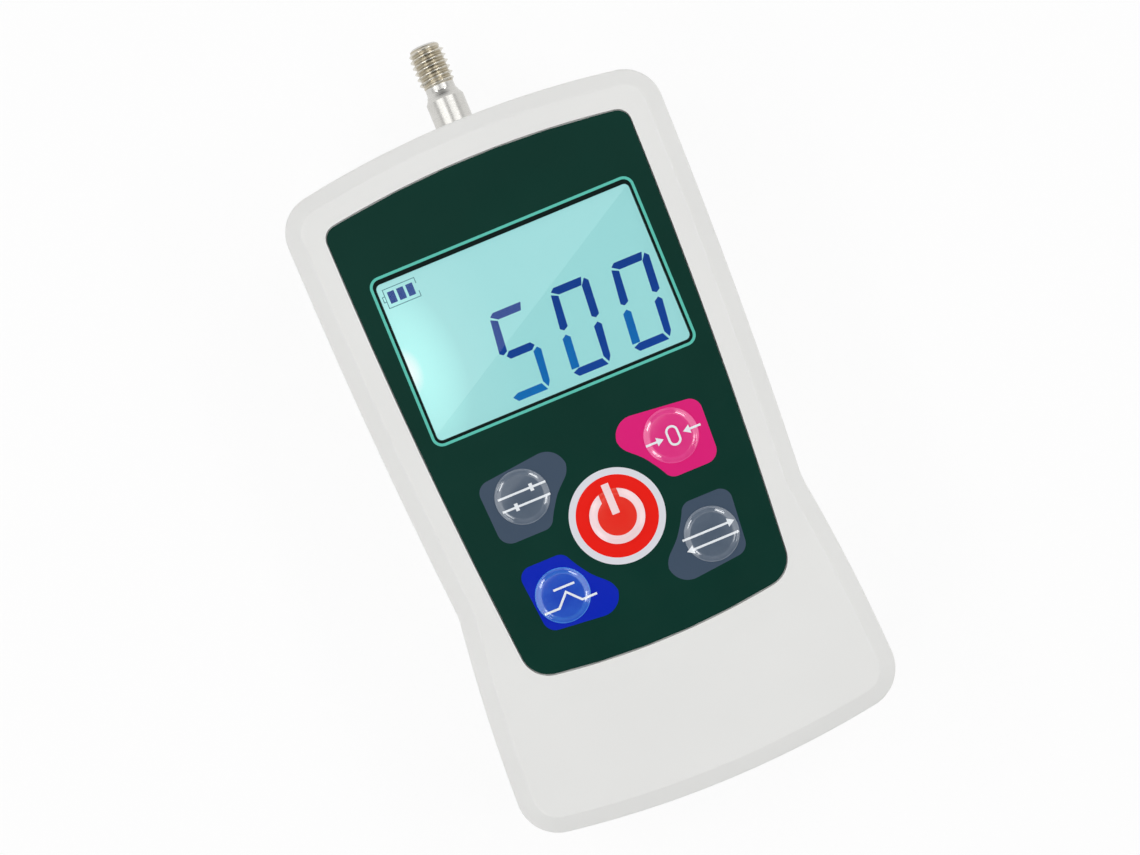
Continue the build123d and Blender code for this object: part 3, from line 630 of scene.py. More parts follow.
def field_outline(upper, mirrored):
    """Outline of one key's coloured field, as its left one or mirrored."""
    if upper:
        outer, lobe_top, lobe, foot = upper_field
        inner = (-field_corner_reach, foot[1], field_corner_radius)
        corners = [outer, lobe_top, lobe, *side_points(field_side_angles, 1), inner, foot]
    else:
        outer, lobe, lobe_foot, foot = lower_field
        inner = (-field_corner_reach, outer[1], field_corner_radius)
        corners = [outer, inner, *side_points(field_side_angles[::-1], -1), lobe, lobe_foot, foot]
    if mirrored:
        corners = [(-x, y, radius) for x, y, radius in corners[::-1]]
    return round_corners(corners)


def make_print(name, colour, roughness=print_roughness, **constants):
    """Glossy ink printed on the film."""
    return make_plastic(name, colour, roughness, print_grain, print_grain_depth, **constants)


key_prints = {
    tone: make_print(f"{tone}_print", colour, **key_gloss) for tone, colour in key_colours.items()
}
fields = {
    key: field_outline(y > power_y, x > 0)
    for key, (x, y) in key_places.items()
    if key != "power"
}
for key, outline in fields.items():
    tone = key_tones[key]
    outlines = [outline, ring(dome_radius, key_places[key])]
    lay_print(f"{key}_field", outlines, key_prints[tone], f"{tone}_key")

# ---- Power key field ----
# A red disc in a pale ring, printed in the middle of the four other keys. The disc is open
# where its own dome rises out of the film.
power_ring_radius = 7.68
power_disc_radius = 6.58
pale_ring_colour = (0.72, 0.72, 0.78)
pale_ring_roughness = 0.2

power_centre = key_places["power"]
pale_print = make_print("pale_print", pale_ring_colour, pale_ring_roughness)
ring_edge, disc_edge, dome_edge = (
    ring(radius, power_centre) for radius in (power_ring_radius, power_disc_radius, dome_radius)
)
lay_print("power_ring", [ring_edge, disc_edge], pale_print, "red_key")
lay_print("power_disc", [disc_edge, dome_edge], key_prints["red"], "red_key")

# ---- Film sheet and window line ----
# The green part of the film goes round all the fields; a teal line and, within it, a black one
# frame the clear window.
border_colour = (0.0008, 0.008, 0.0065)
border_side = 0.4
border_top = 0.75
border_foot = 0.45
dark_film = {"tone": 0.12, "Specular IOR Level": 0.1}


def make_film_print(name, colour, **settings):
    """Ink behind the satin face of the film."""
    return make_plastic(name, colour, film_roughness, film_grain, film_grain_depth, **settings)


def window_block(side, top, foot):
    """Outline of the window, larger by so much at each side, at its top and at its foot."""
    size = (window_width + 2 * side, window_height + top + foot)
    return block(*size, window_radius + side, (0, window_y + (top - foot) / 2))


green_print = make_film_print("green_print", film_colour, **dark_film)
teal_print = make_film_print("teal_print", line_colour)
border_print = make_film_print("border_print", border_colour, **dark_film)
window = window_block(0, 0, 0)
window_edge = window_block(line_width, line_width, line_width)
view_hole = window_block(-border_side, -border_top, -border_foot)
sheet_outlines = [round_corners(film_corners()), window_edge, *fields.values(), ring_edge]
film_sheet = lay_print("film_sheet", sheet_outlines, green_print, "green_film")
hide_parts("keypad_film")
lay_print("window_line", [window_edge, window], teal_print, "green_film")
lay_print("window_border", [window, view_hole], border_print, "green_film")

# ---- Key domes ----
# Round domes embossed in the film, one over each tactile switch: a nearly flat crown, a conical
# flank, a shallow step and a steep rim. On the gauge, pressing one flattens it by its switch's
# travel.
dome_height = 0.57
dome_slopes = (
    (0.0, 0.0),
    (3.4, 0.05),
    (3.6, 0.37),
    (3.95, 0.45),
    (4.1, 0.22),
    (4.3, 0.25),
    (4.36, 1.9),
    (dome_radius, 2.2),
)
dome_skin = 0.38
dome_crown_radius = 3.4
dome_crown_steps = 12
dome_flank_steps = 30
dome_segments = 128
dome_foot = 0.1
dome_ripple = 0.004
dome_ripples_per_metre = 1500.0
dome_roughness = 0.08
dome_gloss = 1.0
dome_gloss_drift = 0.04
dome_gloss_drifts_per_metre = 900.0
# Paler colours of each dome: partly its stretched film's own, partly painted sheen.
veil_and_sheen_colours = {
    "grey": (0.3, 0.35, 0.42),
    "pink": (1.0, 0.14, 0.46),
    "blue": (0.09, 0.42, 1.0),
    "red": (0.88, 0.12, 0.06),
}
veil_and_sheen_patches_per_metre = 700.0
veil_and_sheen_thinnest = 0.75
# Share of the paler colour along a dome's radius: painted sheen, a painted rim highlight and painted
# shade in the middle.
dome_veil_and_sheen_stops = (
    (0.0, 0.12),
    (0.3, 0.13),
    (0.5, 0.18),
    (0.76, 0.2),
    (0.82, 0.36),
    (0.93, 0.26),
    (0.965, 0.34),
    (0.985, 0.8),
    (1.0, 0.6),
)


def fall(reach):
    """How far a dome has fallen at a distance from its middle, by its slopes alone."""
    total = 0.0
    for (start, first), (end, second) in zip(dome_slopes, dome_slopes[1:]):
        run = min(max(reach - start, 0.0), end - start)
        total += run * (first + (second - first) * run / (end - start) / 2)
    return total


def dome_rise(reach):
    """Height of a dome above the film at a distance from its middle."""
    return dome_height * (1 - fall(reach) / fall(dome_radius))


def turn_mesh(name, profile, segments):
    """A closed mesh turned about Z from (radius, height) points that start and end on the axis."""
    form = bmesh.new()
    rows = []
    for radius, height in profile:
        spots = ring(radius, (0, 0), segments if radius else 1)
        rows.append([form.verts.new((x, y, height)) for x, y in spots])
    for first, second in zip(rows, rows[1:]):
        for part in range(segments):
            after = (part + 1) % segments
            if len(first) == 1:
                form.faces.new((first[0], second[part], second[after]))
            elif len(second) == 1:
                form.faces.new((first[part], second[0], first[after]))
            else:
                form.faces.new((first[part], second[part], second[after], first[after]))
    bmesh.ops.recalc_face_normals(form, faces=form.faces)
    return finish_form(form, name)


def dome_profile():
    """Section of a dome, from the middle of its top down its flank and back underneath."""
    flank = dome_radius - dome_crown_radius
    reaches = [dome_crown_radius * part / dome_crown_steps for part in range(dome_crown_steps)]
    reaches += [
        dome_crown_radius + flank * part / dome_flank_steps for part in range(dome_flank_steps + 1)
    ]
    top = [(reach, film_level + dome_rise(reach)) for reach in reaches]
    inner_level = film_level + dome_height - dome_skin
    inner_radius = dome_radius - dome_skin
    return top + [
        (dome_radius, film_level - dome_foot),
        (inner_radius, film_level - dome_foot),
        (dome_crown_radius - dome_skin / 2, inner_level),
        (0, inner_level),
    ]


def press_flat(piece):
    """Gives a piece on a dome its own copy of its mesh."""
    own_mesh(piece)


def add_reach(tree, place, middle, weights):
    """How far a place is from a middle, with each direction weighed by its own factor."""
    offset = add_vector(tree, "MULTIPLY", add_vector(tree, "SUBTRACT", place, middle), weights)
    reach = tree.nodes.new("ShaderNodeVectorMath")
    reach.operation = "LENGTH"
    link(tree, (offset, reach.inputs[0]))
    return reach.outputs["Value"]


def add_blend(tree, share, first, second):
    """A mix of two colours, with a share of the second."""
    mix = tree.nodes.new("ShaderNodeMix")
    mix.data_type = "RGBA"
    link(tree, (share, mix.inputs["Factor"]), (first, mix.inputs["A"]), (second, mix.inputs["B"]))
    return mix.outputs["Result"]


def build_dome_veil_and_sheen():
    """Dome film: own paleness, painted sheen on flank and rim, painted shade in the middle."""
    inputs = ("Colour", "Veil And Sheen Colour", "Middle", "Roughness")
    group, place, given, made = start_group("dome_veil_and_sheen", inputs)
    reach = add_reach(group, place, given["Middle"], (1, 1, 0))
    veil_and_sheen_ramp = group.nodes.new("ShaderNodeValToRGB")
    feed(group, veil_and_sheen_ramp.inputs["Fac"], add_math(group, "DIVIDE", reach, dome_radius * mm))
    for stop, value in dome_veil_and_sheen_stops:
        veil_and_sheen_ramp.color_ramp.elements.new(stop).color = (value, value, value, 1)
    veil_and_sheen_ramp.color_ramp.elements.remove(veil_and_sheen_ramp.color_ramp.elements[-1])
    veil_and_sheen_ramp.color_ramp.elements.remove(veil_and_sheen_ramp.color_ramp.elements[0])
    uneven = add_drift(group, place, veil_and_sheen_patches_per_metre, veil_and_sheen_thinnest, 1.0)
    share = add_math(group, "MULTIPLY", veil_and_sheen_ramp.outputs["Color"], uneven)
    colour = add_blend(group, share, given["Colour"], given["Veil And Sheen Colour"])
    gloss = add_drift(group, place, dome_gloss_drifts_per_metre, 0.0, dome_gloss_drift)
    ripples = add_noise(group, place, dome_ripples_per_metre)
    return end_group(group, given, made, colour, gloss, ripples, dome_ripple * mm)


dome_veil_and_sheen = build_dome_veil_and_sheen()
for key, (x, y) in key_places.items():
    tone = key_tones[key]
    mesh = turn_mesh(f"{key}_dome", dome_profile(), dome_segments)
    mesh.transform(Matrix.Translation((x, y, 0)))
    settings = {
        "Colour": (*key_colours[tone], 1),
        "Veil And Sheen Colour": (*veil_and_sheen_colours[tone], 1),
        "Middle": (x * mm, y * mm, 0),
        "Roughness": dome_roughness,
    }
    finish = make_finish(f"{key}_dome_film", dome_veil_and_sheen, settings, {"Specular IOR Level": dome_gloss})
    dome = place_piece(f"{key}_dome", mesh, finish)
    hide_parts(f"{key}_key")
    press_flat(dome)

# ---- Key signs ----
# Plain signs printed in white over the domes and fields: two sliders for settings, a nought
# between two arrows, a peak under a line, and two opposite arrows. The power key has its own.
sign_height = 3.32
sign_line = 0.36
ink_lift = 0.02
ink_ease = 0.1
ink_thickness = 0.05
ink_cut = 0.16
white_ink_colour = (0.8, 0.84, 0.88)
sign_places = {
    "set": (-16.5, -4.4),
    "zero": (8.35, -4.4),
    "peak": (-16.5, -21.3),
    "unit": (8.0, -21.3),
}
slider_length = 8.1
slider_knobs = (5.7, 2.4)
slider_knob_size = (0.29, 0.62)
nought_width = 2.1
nought_gap = 0.6
nought_ease = 0.02
arrow_head = 1.15
arrow_wing = 0.62 * arrow_head
arrow_lengths = {"zero": 3.0, "unit": 8.8}
peak_width = 8.9
peak_foot = 2.5
peak_drop = 3 * sign_line
cap_ends = (0.3 * peak_width, 0.7 * peak_width)
sign_crease = 60
power_ring_outer = 4.42
power_ring_inner = 3.1
power_arc_steps = 90
power_gap = 1.52
power_bar_width = 1.22
power_bar_top = -5.68
power_bar_bottom = -10.7
power_bar_corner = 0.05
power_ink_colour = (0.93, 0.7, 0.72)


def thick_line(points, width):
    """Outline of a line drawn through points with mitred corners."""
    points = [Vector(point) for point in points]
    sides = ([], [])
    for place, point in enumerate(points):
        ways = []
        if place:
            ways.append((point - points[place - 1]).normalized())
        if place < len(points) - 1:
            ways.append((points[place + 1] - point).normalized())
        along = sum(ways, Vector((0, 0))).normalized()
        out = Vector((-along.y, along.x))
        reach = width / 2 / out.dot(Vector((-ways[0].y, ways[0].x)))
        sides[0].append(tuple(point + out * reach))
        sides[1].append(tuple(point - out * reach))
    return sides[0] + sides[1][::-1]


def arrow(tail, tip_x):
    """Outline of a level arrow with a solid head."""
    x, y = tail
    way = 1 if tip_x > x else -1
    neck = tip_x - way * arrow_head
    half = sign_line / 2
    return [
        (x, y - half),
        (neck, y - half),
        (neck, y - arrow_wing),
        (tip_x, y),
        (neck, y + arrow_wing),
        (neck, y + half),
        (x, y + half),
    ]


def slider(level, knob):
    """Outline of a slider: a line with an upright knob on it."""
    half = sign_line / 2
    knob_width, knob_height = slider_knob_size
    lower = [(0, -half), (knob - knob_width, -half), (knob - knob_width, -knob_height)]
    lower += [(knob + knob_width, -knob_height), (knob + knob_width, -half), (slider_length, -half)]
    return [(x, level + y) for x, y in lower] + [(x, level - y) for x, y in lower[::-1]]


def sign_outlines(key):
    """Closed outlines of a key's sign, from its own lower left corner."""
    middle = sign_height / 2
    if key == "set":
        levels = (sign_height - slider_knob_size[1], slider_knob_size[1])
        return [slider(level, knob) for level, knob in zip(levels, slider_knobs)]
    if key == "zero":
        reach = arrow_lengths["zero"]
        centre = (reach + nought_gap + nought_width / 2, middle)
        inner = (nought_width - 2 * sign_line, sign_height - 2 * sign_line)
        return [
            arrow((0, middle), reach),
            arrow((2 * centre[0], middle), 2 * centre[0] - reach),
            block(nought_width, sign_height, nought_width / 2 - nought_ease, centre),
            block(*inner, inner[0] / 2 - nought_ease, centre),
        ]
    if key == "peak":
        low = sign_line / 2
        top = (peak_width / 2, sign_height - peak_drop)
        line = [(0, low), (peak_foot, low), top, (peak_width - peak_foot, low), (peak_width, low)]
        cap = [(x, sign_height - low) for x in cap_ends]
        return [thick_line(line, sign_line), thick_line(cap, sign_line)]
    reach = arrow_lengths["unit"]
    return [arrow((0, sign_height - arrow_wing), reach), arrow((reach, arrow_wing), 0)]


def lay_ink(name, outlines, centre):
    """A print cut finely, laid over a dome and given a film's thickness."""
    form = fill_outlines(outlines)
    for axis in (0, 1):
        places = [vertex.co[axis] for vertex in form.verts]
        count = int((max(places) - min(places)) / ink_cut)
        normal = Vector((1, 0, 0)) if axis == 0 else Vector((0, 1, 0))
        for part in range(1, count + 1):
            point = normal * (min(places) + part * ink_cut)
            geometry = [*form.verts, *form.edges, *form.faces]
            bmesh.ops.bisect_plane(form, geom=geometry, plane_co=point, plane_no=normal)
    for vertex in form.verts:
        reach = math.hypot(vertex.co.x - centre[0], vertex.co.y - centre[1])
        vertex.co.z = film_level + dome_rise(max(0.0, reach - ink_ease)) + ink_lift
    piece = add_object(name, finish_form(form, name))
    thicken = piece.modifiers.new("thicken", "SOLIDIFY")
    thicken.thickness = ink_thickness
    thicken.offset = -1
    graph = bpy.context.evaluated_depsgraph_get()
    mesh = bpy.data.meshes.new_from_object(piece.evaluated_get(graph))
    bpy.data.objects.remove(piece)
    return mesh


def place_sign(key, outlines, ink):
    """Lays a key's sign over its dome."""
    mesh = lay_ink(f"{key}_sign", outlines, key_places[key])
    sign = place_piece(f"{key}_sign", mesh, ink, crease=sign_crease)
    press_flat(sign)


white_ink = make_print("white_ink", white_ink_colour)
for key, (left, foot) in sign_places.items():
    outlines = [[(left + x, foot + y) for x, y in outline] for outline in sign_outlines(key)]
    place_sign(key, outlines, white_ink)


def power_ring_outline():
    """Outline of the open ring of the power sign, cut off square beside the bar."""
    x, y = power_centre
    outline = []
    for radius, way in ((power_ring_outer, 1), (power_ring_inner, -1)):
        edge = math.asin(power_gap / radius)
        span = 2 * math.pi - 2 * edge
        arc = [
            (
                x + radius * math.sin(edge + span * part / power_arc_steps),
                y + radius * math.cos(edge + span * part / power_arc_steps),
            )
            for part in range(power_arc_steps + 1)
        ]
        outline += arc[::way]
    return outline


power_bar = block(
    power_bar_width,
    power_bar_top - power_bar_bottom,
    power_bar_corner,
    (0, (power_bar_top + power_bar_bottom) / 2),
)
power_ink = make_print("power_ink", power_ink_colour)
place_sign("power", [power_ring_outline(), power_bar], power_ink)

# ---- Display ----
# A liquid-crystal cell with pale cyan light behind it, clamped by a black frame.
# The light comes in from the left edge, so it is brightest there.
lit_colour = (0.318, 0.68, 0.685)
white_colour = (0.88, 1.0, 1.0)
light_stops = ((0.016, (0.46, 0.93, 0.9)), (0.2, (0.35, 0.71, 0.71)), (0.6, lit_colour))
hot_spot = (-21.9, 22.6)
hot_spot_reach = 45.0
hot_spot_stretch = (1.45, 0.85, 0)
glass_colour = (0.03, 0.07, 0.07, 1)
glass_roughness = 0.25
cells_per_metre = 9000.0
cell_depth = 0.002
digit_pitch = 10.4
digit_foot = 11.5
digit_left = -8.22
digit_corner = 0.08
digit_arc_step = 20
digit_slant = math.tan(math.radians(6.3))
ink_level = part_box("display_glass")[1].z / mm
figure_colours = {
    "dark": ((0.001, 0.03, 0.2), (0.001, 0.048, 0.3)),
    "light": ((0.001, 0.06, 0.32), (0.001, 0.15, 0.46)),
}
figure_base_colour = (0.002, 0.008, 0.03, 1)
figure_gloss = 0.05
fade_top = 40
fade_foot = 10
mottles_per_metre = 500.0
mottle_share = 0.12
digit_thickness = 0.03
digit_lift = 0.01

# Corners of the seven bars of one upright figure, from its lower left corner.
figure_bars = {
    "a": [(0.03, 14.06), (0.61, 14.6), (5.4, 14.6), (5.1, 13.3), (1.23, 13.3)],
    "b": [(5.76, 14.3), (6.4, 13.68), (6.55, 8.13), (5.92, 7.71), (5.25, 8.13), (5.11, 13.2)],
    "c": [(5.92, 7.02), (6.5, 6.44), (6.43, 1.3), (5.98, 0.44), (5.32, 1.56), (5.17, 6.5)],
    "d": [(0.0, 0.92), (0.96, 1.37), (5.02, 1.37), (5.8, 0.1), (0.78, 0.1)],
    "e": [(0.48, 7.02), (1.13, 6.44), (1.2, 1.46), (-0.14, 1.46), (-0.22, 6.5)],
    "f": [(-0.08, 13.68), (1.09, 13.14), (1.17, 8.13), (0.44, 7.71), (-0.17, 8.13)],
    "g": [(0.85, 7.4), (1.41, 8.06), (5.07, 8.06), (5.68, 7.4), (5.05, 6.79), (1.4, 6.79)],
}
bars_used = {
    "dark": {"5": "afg", "0": "abcdf"},
    "light": {"5": "cd", "0": "e"},
}


def figure_outlines(bar_names, left):
    """The slanted bars of one figure, in place on the display."""
    outlines = []
    for bar_name in bar_names:
        corners = [
            (x + left + y * digit_slant, y + digit_foot, digit_corner)
            for x, y in figure_bars[bar_name]
        ]
        outlines.append(round_corners(corners, digit_arc_step))
    return outlines


def add_colour_range(tree, value, low, high, stops=()):
    """A colour that runs from low to high as a value goes from 0 to 1, past any stops between."""
    ramp = tree.nodes.new("ShaderNodeValToRGB")
    ramp.color_ramp.elements[0].color = (*low, 1)
    ramp.color_ramp.elements[1].color = (*high, 1)
    for stop, colour in stops:
        ramp.color_ramp.elements.new(stop).color = (*colour, 1)
    link(tree, (value, ramp.inputs["Fac"]))
    return ramp.outputs["Color"]


def make_lit_glass():
    """The display's face: pale cyan light, strongest at its left edge, with a faint cell pattern."""
    material, tree, shader = start_material("lit_glass")
    place = tree.nodes.new("ShaderNodeTexCoord").outputs["Object"]
    middle = [length * mm for length in (*hot_spot, ink_level)]
    reach = add_reach(tree, place, middle, hot_spot_stretch)
    spread = add_map(tree, reach, (0, hot_spot_reach * mm), (0, 1), smooth=True)
    light = add_colour_range(tree, spread, white_colour, lit_colour, light_stops)
    bump = tree.nodes.new("ShaderNodeBump")
    bump.inputs["Distance"].default_value = cell_depth * mm
    link(
        tree,
        (light, shader.inputs["Emission Color"]),
        (add_noise(tree, place, cells_per_metre), bump.inputs["Height"]),
        (bump.outputs[0], shader.inputs["Normal"]),
    )
    set_sockets(shader, {"Base Color": glass_colour, "Roughness": glass_roughness})
    shader.inputs["Emission Strength"].default_value = 1.0
    return material


def make_lit_ink(name, dark, bright):
    """Switched-on liquid crystal, a little lighter towards the foot of the figures."""
    material, tree, shader = start_material(name)
    place = tree.nodes.new("ShaderNodeTexCoord").outputs["Object"]
    split = tree.nodes.new("ShaderNodeSeparateXYZ")
    height = add_map(tree, split.outputs["Y"], (fade_top * mm, fade_foot * mm), (0, 1))
    mottle = add_drift(tree, place, mottles_per_metre, -mottle_share, mottle_share)
    share = add_math(tree, "ADD", height, mottle)
    colour = add_colour_range(tree, share, dark, bright)
    link(tree, (place, split.inputs[0]), (colour, shader.inputs["Emission Color"]))
    set_sockets(shader, {"Base Color": figure_base_colour, "Roughness": glass_roughness})
    set_sockets(shader, {"Emission Strength": 1.0, "Specular IOR Level": figure_gloss})
    return material


dress(make_lit_glass(), "display_glass")
crystal = {
    "slot": "display_glass",
    "top": ink_level + digit_lift + digit_thickness,
    "thickness": digit_thickness,
}
for tone, colours in figure_colours.items():
    outlines = []
    for place, figure in enumerate("500"):
        outlines += figure_outlines(bars_used[tone][figure], digit_left + place * digit_pitch)
    lay_print(f"{tone}_bars", outlines, make_lit_ink(f"{tone}_figure_ink", *colours), **crystal)

# ---- Battery sign on the display ----
# The charge level: a battery outline with three bars, drawn by the same liquid crystal in the
# display's upper left corner.
battery_line = 0.12
battery_case = [
    (-15.4, 33.9),
    (-15.4, 32.98),
    (-20.8, 32.98),
    (-20.8, 36.1),
    (-15.4, 36.1),
    (-15.4, 35.15),
]
battery_nub = [(-20.86, 34.1), (-21.22, 34.1), (-21.22, 35.0), (-20.86, 35.0)]
charge_bar = (1.14, 1.95, 0.06)
charge_bar_places = [(-19.7 + 1.57 * place, 34.54) for place in range(3)]
case_colours = ((0.04, 0.17, 0.2), (0.05, 0.22, 0.25))
charge_colours = ((0.0005, 0.03, 0.21), (0.0005, 0.075, 0.34))

outlines = [thick_line(battery_case, battery_line), thick_line(battery_nub, battery_line)]
lay_print("battery_case", outlines, make_lit_ink("case_ink", *case_colours), **crystal)
outlines = [block(*charge_bar, centre) for centre in charge_bar_places]
lay_print("battery_bars", outlines, make_lit_ink("charge_ink", *charge_colours), **crystal)

# ---- Window pane and display frame ----
# A clear acrylic pane glued under the film's window, over the black frame of the display.
pane_colour = (0.97, 0.99, 0.985)
pane_ripple = 8.0
pane_ripple_depth = 0.00002
pane_haze = 0.004
frame_colour = (0.004, 0.016, 0.014)
frame_roughness = 0.6

clear_acrylic = make_plastic(
    "clear_acrylic",
    pane_colour,
    0.0,
    pane_ripple,
    pane_ripple_depth,
    tone=0.0,
    gloss_drift=pane_haze,
    **{"Base Color": (*pane_colour, 1), "Transmission Weight": 1.0, "IOR": 1.49},
)
dress(clear_acrylic, "display_pane")
black_plastic = make_plastic(
    "black_plastic", frame_colour, frame_roughness, **{"Specular IOR Level": 0.05}
)
dress(black_plastic, "display_frame")

# ---- Spindle ----
# Turned stainless steel with an M6 thread cut on its tip: a flat chamfered end, a plain neck
# and a smooth shank that goes into the housing. The nut inside holds it on the load cell.
thread_pitch = 1.0
thread_radius = 2.98
thread_root = 2.42
thread_crest = 0.1
thread_root_flat = 0.18
thread_start = 64.35
thread_end = 70.95
thread_lines = 16
thread_run_in = 9
thread_run_out = 7
turn_segments = 72
neck_radius = 2.45
shank_radius = 3.2
spindle_level = 16.0
spindle_tip = 71.33
spindle_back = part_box("spindle")[0].y / mm
steel_colour = (0.68, 0.67, 0.64)
steel_roughness = 0.24
lines_per_metre = 2500.0
stains_per_metre = 180.0
metal_detail = 4.0
crest_colour = (0.7, 0.67, 0.6)
# Painted shade: a brown laid down the thread's grooves, deepest at their roots.
groove_shade_colour = (0.5, 0.45, 0.35)
groove_depth = 0.33
groove_dulling = 0.15
thread_roughness = 0.16
metal_gloss_drift = 0.1
rod_crease = 35
# Uneven patches in the painted groove shade.
groove_shade_patches_per_metre = 900.0
groove_shade_patch_share = 0.2

# Radius and place along the gauge, from the load cell to the neck and from the thread to the tip.
shank_profile = [
    (2.9, spindle_back),
    (2.98, spindle_back + 0.2),
    (2.98, 49.68),
    (shank_radius, 49.72),
    (shank_radius, 61.95),
    (shank_radius - 0.12, 62.1),
    (shank_radius - 0.5, 62.75),
    (neck_radius + 0.22, 62.95),
    (neck_radius + 0.09, 63.12),
    (neck_radius + 0.02, 63.35),
    (neck_radius, 63.6),
    (neck_radius, 64.1),
]
tip_profile = [
    (thread_root - 0.05, thread_end + 0.1),
    (thread_root - 0.35, spindle_tip - 0.05),
    (1.4, spindle_tip),
]


def build_turned_metal():
    """Turned or drawn metal: fine lines round the axis, slight stains and a drift of gloss."""
    inputs = ("Colour", "Stain", "Roughness", "Stretch", "Line Depth")
    group, place, given, made = start_group("turned_metal", inputs)
    stretched = add_vector(group, "MULTIPLY", place, given["Stretch"])
    lines = add_noise(group, stretched, lines_per_metre, metal_detail)
    stain = add_noise(group, place, stains_per_metre, metal_detail)
    shade = add_shade(group, given["Colour"], stain, given["Stain"])
    gloss = add_range(group, lines, 0.0, metal_gloss_drift)
    return end_group(group, given, made, shade, gloss, lines, given["Line Depth"])


turned_metal = build_turned_metal()


def make_metal(name, colour, roughness, stretch=(1, 1, 1), line_depth=0.0005, stain=0.1):
    """Bare or plated metal. The depth of its lines is in millimetres."""
    settings = {
        "Colour": (*colour, 1),
        "Stain": stain,
        "Roughness": roughness,
        "Stretch": stretch,
        "Line Depth": line_depth * mm,
    }
    return make_finish(name, turned_metal, settings, {"Metallic": 1.0})


def build_thread_groove_shade():
    """Cut thread: steel on its crests and painted brown shade, in uneven patches, in its grooves."""
    inputs = ("Colour", "Groove Shade Colour", "Axis", "Groove Radius", "Crest Radius", "Roughness")
    group, place, given, made = start_group("thread_groove_shade", inputs, ("Colour", "Roughness"))
    reach = add_reach(group, place, given["Axis"], (1, 0, 1))
    radii = (given["Groove Radius"], given["Crest Radius"])
    height = add_map(group, reach, radii, (0, 1))
    shares = (-groove_shade_patch_share, groove_shade_patch_share)
    uneven_shade = add_drift(group, place, groove_shade_patches_per_metre, *shares, metal_detail)
    unshaded_share = add_math(group, "ADD", height, uneven_shade)
    colour = add_blend(group, unshaded_share, given["Groove Shade Colour"], given["Colour"])
    dulled = add_math(group, "MULTIPLY", add_math(group, "SUBTRACT", 1.0, height), groove_dulling)
    roughness = add_math(group, "ADD", given["Roughness"], dulled)
    link(group, (colour, made["Colour"]), (roughness, made["Roughness"]))
    return group


def make_threaded_rod(name):
    """A turned rod about Z with a helical thread between its shank and its chamfered tip."""
    form = bmesh.new()
    count = round((thread_end - thread_start) / thread_pitch * thread_lines)
    rows = []
    for part in range(count + 1):
        along = part / thread_lines
        z = thread_start + along * thread_pitch
        fade = min(1.0, (part / count) * thread_run_in, (1 - part / count) * thread_run_out)
        row = []
        for spoke in range(turn_segments):
            angle = 2 * math.pi * spoke / turn_segments
            phase = (along - spoke / turn_segments) % 1.0
            height = 1 - abs(2 * phase - 1)
            height = (height - thread_root_flat) / (1 - thread_crest - thread_root_flat)
            height = min(1.0, max(0.0, height))
            radius = thread_root + (thread_radius - thread_root) * height * fade
            row.append(form.verts.new((radius * math.cos(angle), radius * math.sin(angle), z)))
        rows.append(row)
    shank_rows, tip_rows = (
        [
            [form.verts.new((x, y, z)) for x, y in ring(radius, (0, 0), turn_segments)]
            for radius, z in profile
        ]
        for profile in (shank_profile, tip_profile)
    )
    rows = shank_rows + rows + tip_rows
    for first, second in zip(rows, rows[1:]):
        for spoke in range(turn_segments):
            after = (spoke + 1) % turn_segments
            form.faces.new((first[spoke], first[after], second[after], second[spoke]))
    form.faces.new(rows[0][::-1])
    form.faces.new(rows[-1])
    bmesh.ops.recalc_face_normals(form, faces=form.faces)
    return finish_form(form, name)


mesh = make_threaded_rod("spindle_rod")
mesh.transform(Matrix.Translation((0, 0, spindle_level)) @ Matrix.Rotation(-math.pi / 2, 4, "X"))
spindle_steel = make_metal(
    "spindle_steel", steel_colour, steel_roughness, stretch=(0.05, 3.0, 0.05), line_depth=0.00008
)
rod = place_piece("spindle_rod", mesh, spindle_steel, body="spindle", crease=rod_crease)
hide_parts("spindle")
settings = {
    "Colour": (*crest_colour, 1),
    "Groove Shade Colour": (*groove_shade_colour, 1),
    "Axis": (0, 0, spindle_level * mm),
    "Groove Radius": thread_root * mm,
    "Crest Radius": (thread_root + groove_depth) * mm,
    "Roughness": thread_roughness,
}
rod.data.materials.append(
    make_finish("thread_steel", build_thread_groove_shade(), settings, {"Metallic": 1.0})
)
for polygon in rod.data.polygons:
    if thread_start < polygon.center.y / mm < thread_end:
        polygon.material_index = 1
dress(spindle_steel, "spindle_nut")

# ---- Stand bushes ----
# Four turned steel bushes in the back, tapped M4 for the screws of a test stand. They stand in
# the chassis plate and reach through the rear shell.
bush_steel = make_metal("bush_steel", (0.55, 0.55, 0.53), roughness=0.3, stretch=(1, 1, 0.2))
dress(bush_steel, "mount_bushes")

# ---- Housing screws ----
# Zinc-plated screws: four deep in their wells in the back, and others that hold the boards, the
# chassis and the load cell.
screw_steel = make_metal("screw_steel", (0.56, 0.56, 0.57), roughness=0.32, stain=0.15)
dress(screw_steel, "shell_screws", "board_screws", "chassis_screws", "cell_bolt")

# ---- Charging socket ----
# A drawn steel shell, nickel plated and soldered to its own small board. Its mouth is open
# through the foot of the housing.
socket_steel = make_metal("socket_steel", (0.58, 0.58, 0.6), roughness=0.24, stretch=(1, 0.1, 1))
dress(socket_steel, "charge_socket")

# ---- Load cell and chassis ----
# A milled aluminium beam with foil strain gauges glued on it, bolted to the upright of a folded
# steel plate that is screwed into the rear shell.
cell_aluminium = make_metal(
    "cell_aluminium",
    (0.72, 0.73, 0.75),
    roughness=0.34,
    stretch=(0.2, 3.0, 0.2),
    line_depth=0.001,
)
dress(cell_aluminium, "load_cell")
gauge_foil = make_plastic(
    "gauge_foil", (0.5, 0.24, 0.06), roughness=0.25, grain=0.15, grain_depth=0.002
)
dress(gauge_foil, "strain_gauges")
chassis_steel = make_metal(
    "chassis_steel", (0.6, 0.59, 0.56), roughness=0.36, stretch=(0.3, 2.0, 1), stain=0.18
)
dress(chassis_steel, "chassis_plate")

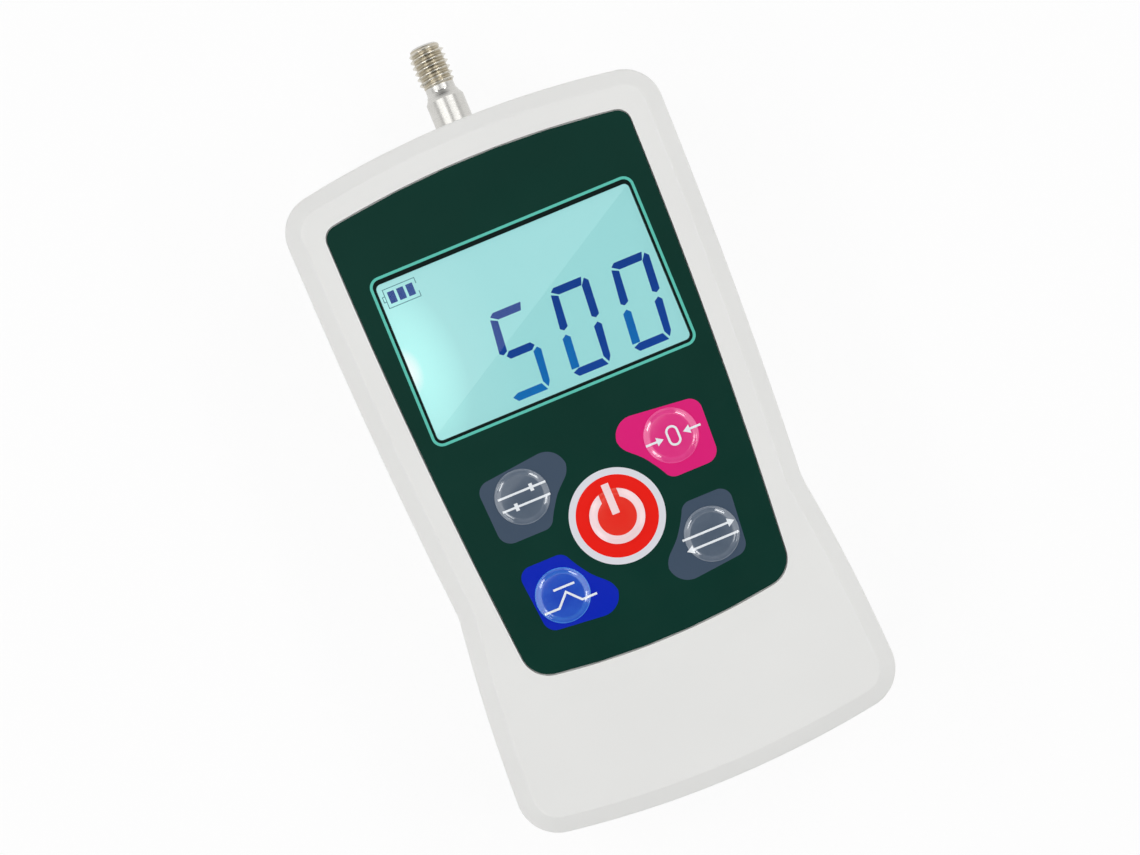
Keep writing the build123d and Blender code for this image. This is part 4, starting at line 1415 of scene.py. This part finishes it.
# ---- Circuit boards ----
# Glass-fibre laminate under green solder mask, with black chips and switches and cream nylon
# headers soldered on. The switches' stems are black acetal.
solder_mask = make_plastic(
    "solder_mask", (0.012, 0.13, 0.045), roughness=0.22, grain=0.12, grain_depth=0.003, tone=0.2
)
dress(solder_mask, "main_board", "charge_board")
chip_plastic = make_plastic(
    "chip_plastic", (0.022, 0.022, 0.024), roughness=0.5, grain=0.08, grain_depth=0.002
)
dress(chip_plastic, "board_chips", "switch_housings")
header_nylon = make_plastic("header_nylon", (0.74, 0.7, 0.6), roughness=0.4, grain_depth=0.003)
dress(header_nylon, "wire_headers")
stem_acetal = make_plastic("stem_acetal", (0.03, 0.03, 0.031), roughness=0.35, grain_depth=0.002)
dress(stem_acetal, *(f"{key}_switch_stem" for key in key_places))

# ---- Display backing ----
# A white acrylic guide behind the glass spreads the light. A strip of layered conductive rubber,
# pressed between board and glass, connects it.
guide_acrylic = make_plastic(
    "guide_acrylic", (0.82, 0.86, 0.86), roughness=0.2, grain=0.4, grain_depth=0.001
)
dress(guide_acrylic, "light_guide")
strip_rubber = make_plastic(
    "strip_rubber", (0.5, 0.33, 0.28), roughness=0.6, grain=0.1, grain_depth=0.006, tone=0.2
)
dress(strip_rubber, "contact_strip")

# ---- Battery ----
# Three nickel-plated cells side by side in a blue shrink sleeve. The pack is glued on a pad of
# black foam tape, between two ribs of the rear shell.
cell_nickel = make_metal("cell_nickel", (0.63, 0.62, 0.6), roughness=0.28)
dress(cell_nickel, "battery_cells")
shrink_sleeve = make_plastic(
    "shrink_sleeve", (0.02, 0.08, 0.36), roughness=0.25, grain=0.6, grain_depth=0.01
)
dress(shrink_sleeve, "battery_sleeve")
pad_foam = make_plastic(
    "pad_foam", (0.035, 0.035, 0.035), roughness=0.85, grain=0.25, grain_depth=0.05, tone=0.3
)
dress(pad_foam, "battery_pad")

# ---- Leads ----
# Stranded copper in thin soft insulation: a pair each for the battery and the socket, and one
# round lead for the load cell. Each runs to a header on the back of the board.
lead_colours = {
    "battery_lead": (0.5, 0.02, 0.015),
    "charge_lead": (0.03, 0.03, 0.03),
    "load_cell_lead": (0.6, 0.6, 0.58),
}
lead_skin = {"roughness": 0.4, "grain": 0.3, "grain_depth": 0.003}
for node, colour in lead_colours.items():
    dress(make_plastic(f"{node}_insulation", colour, **lead_skin), node)
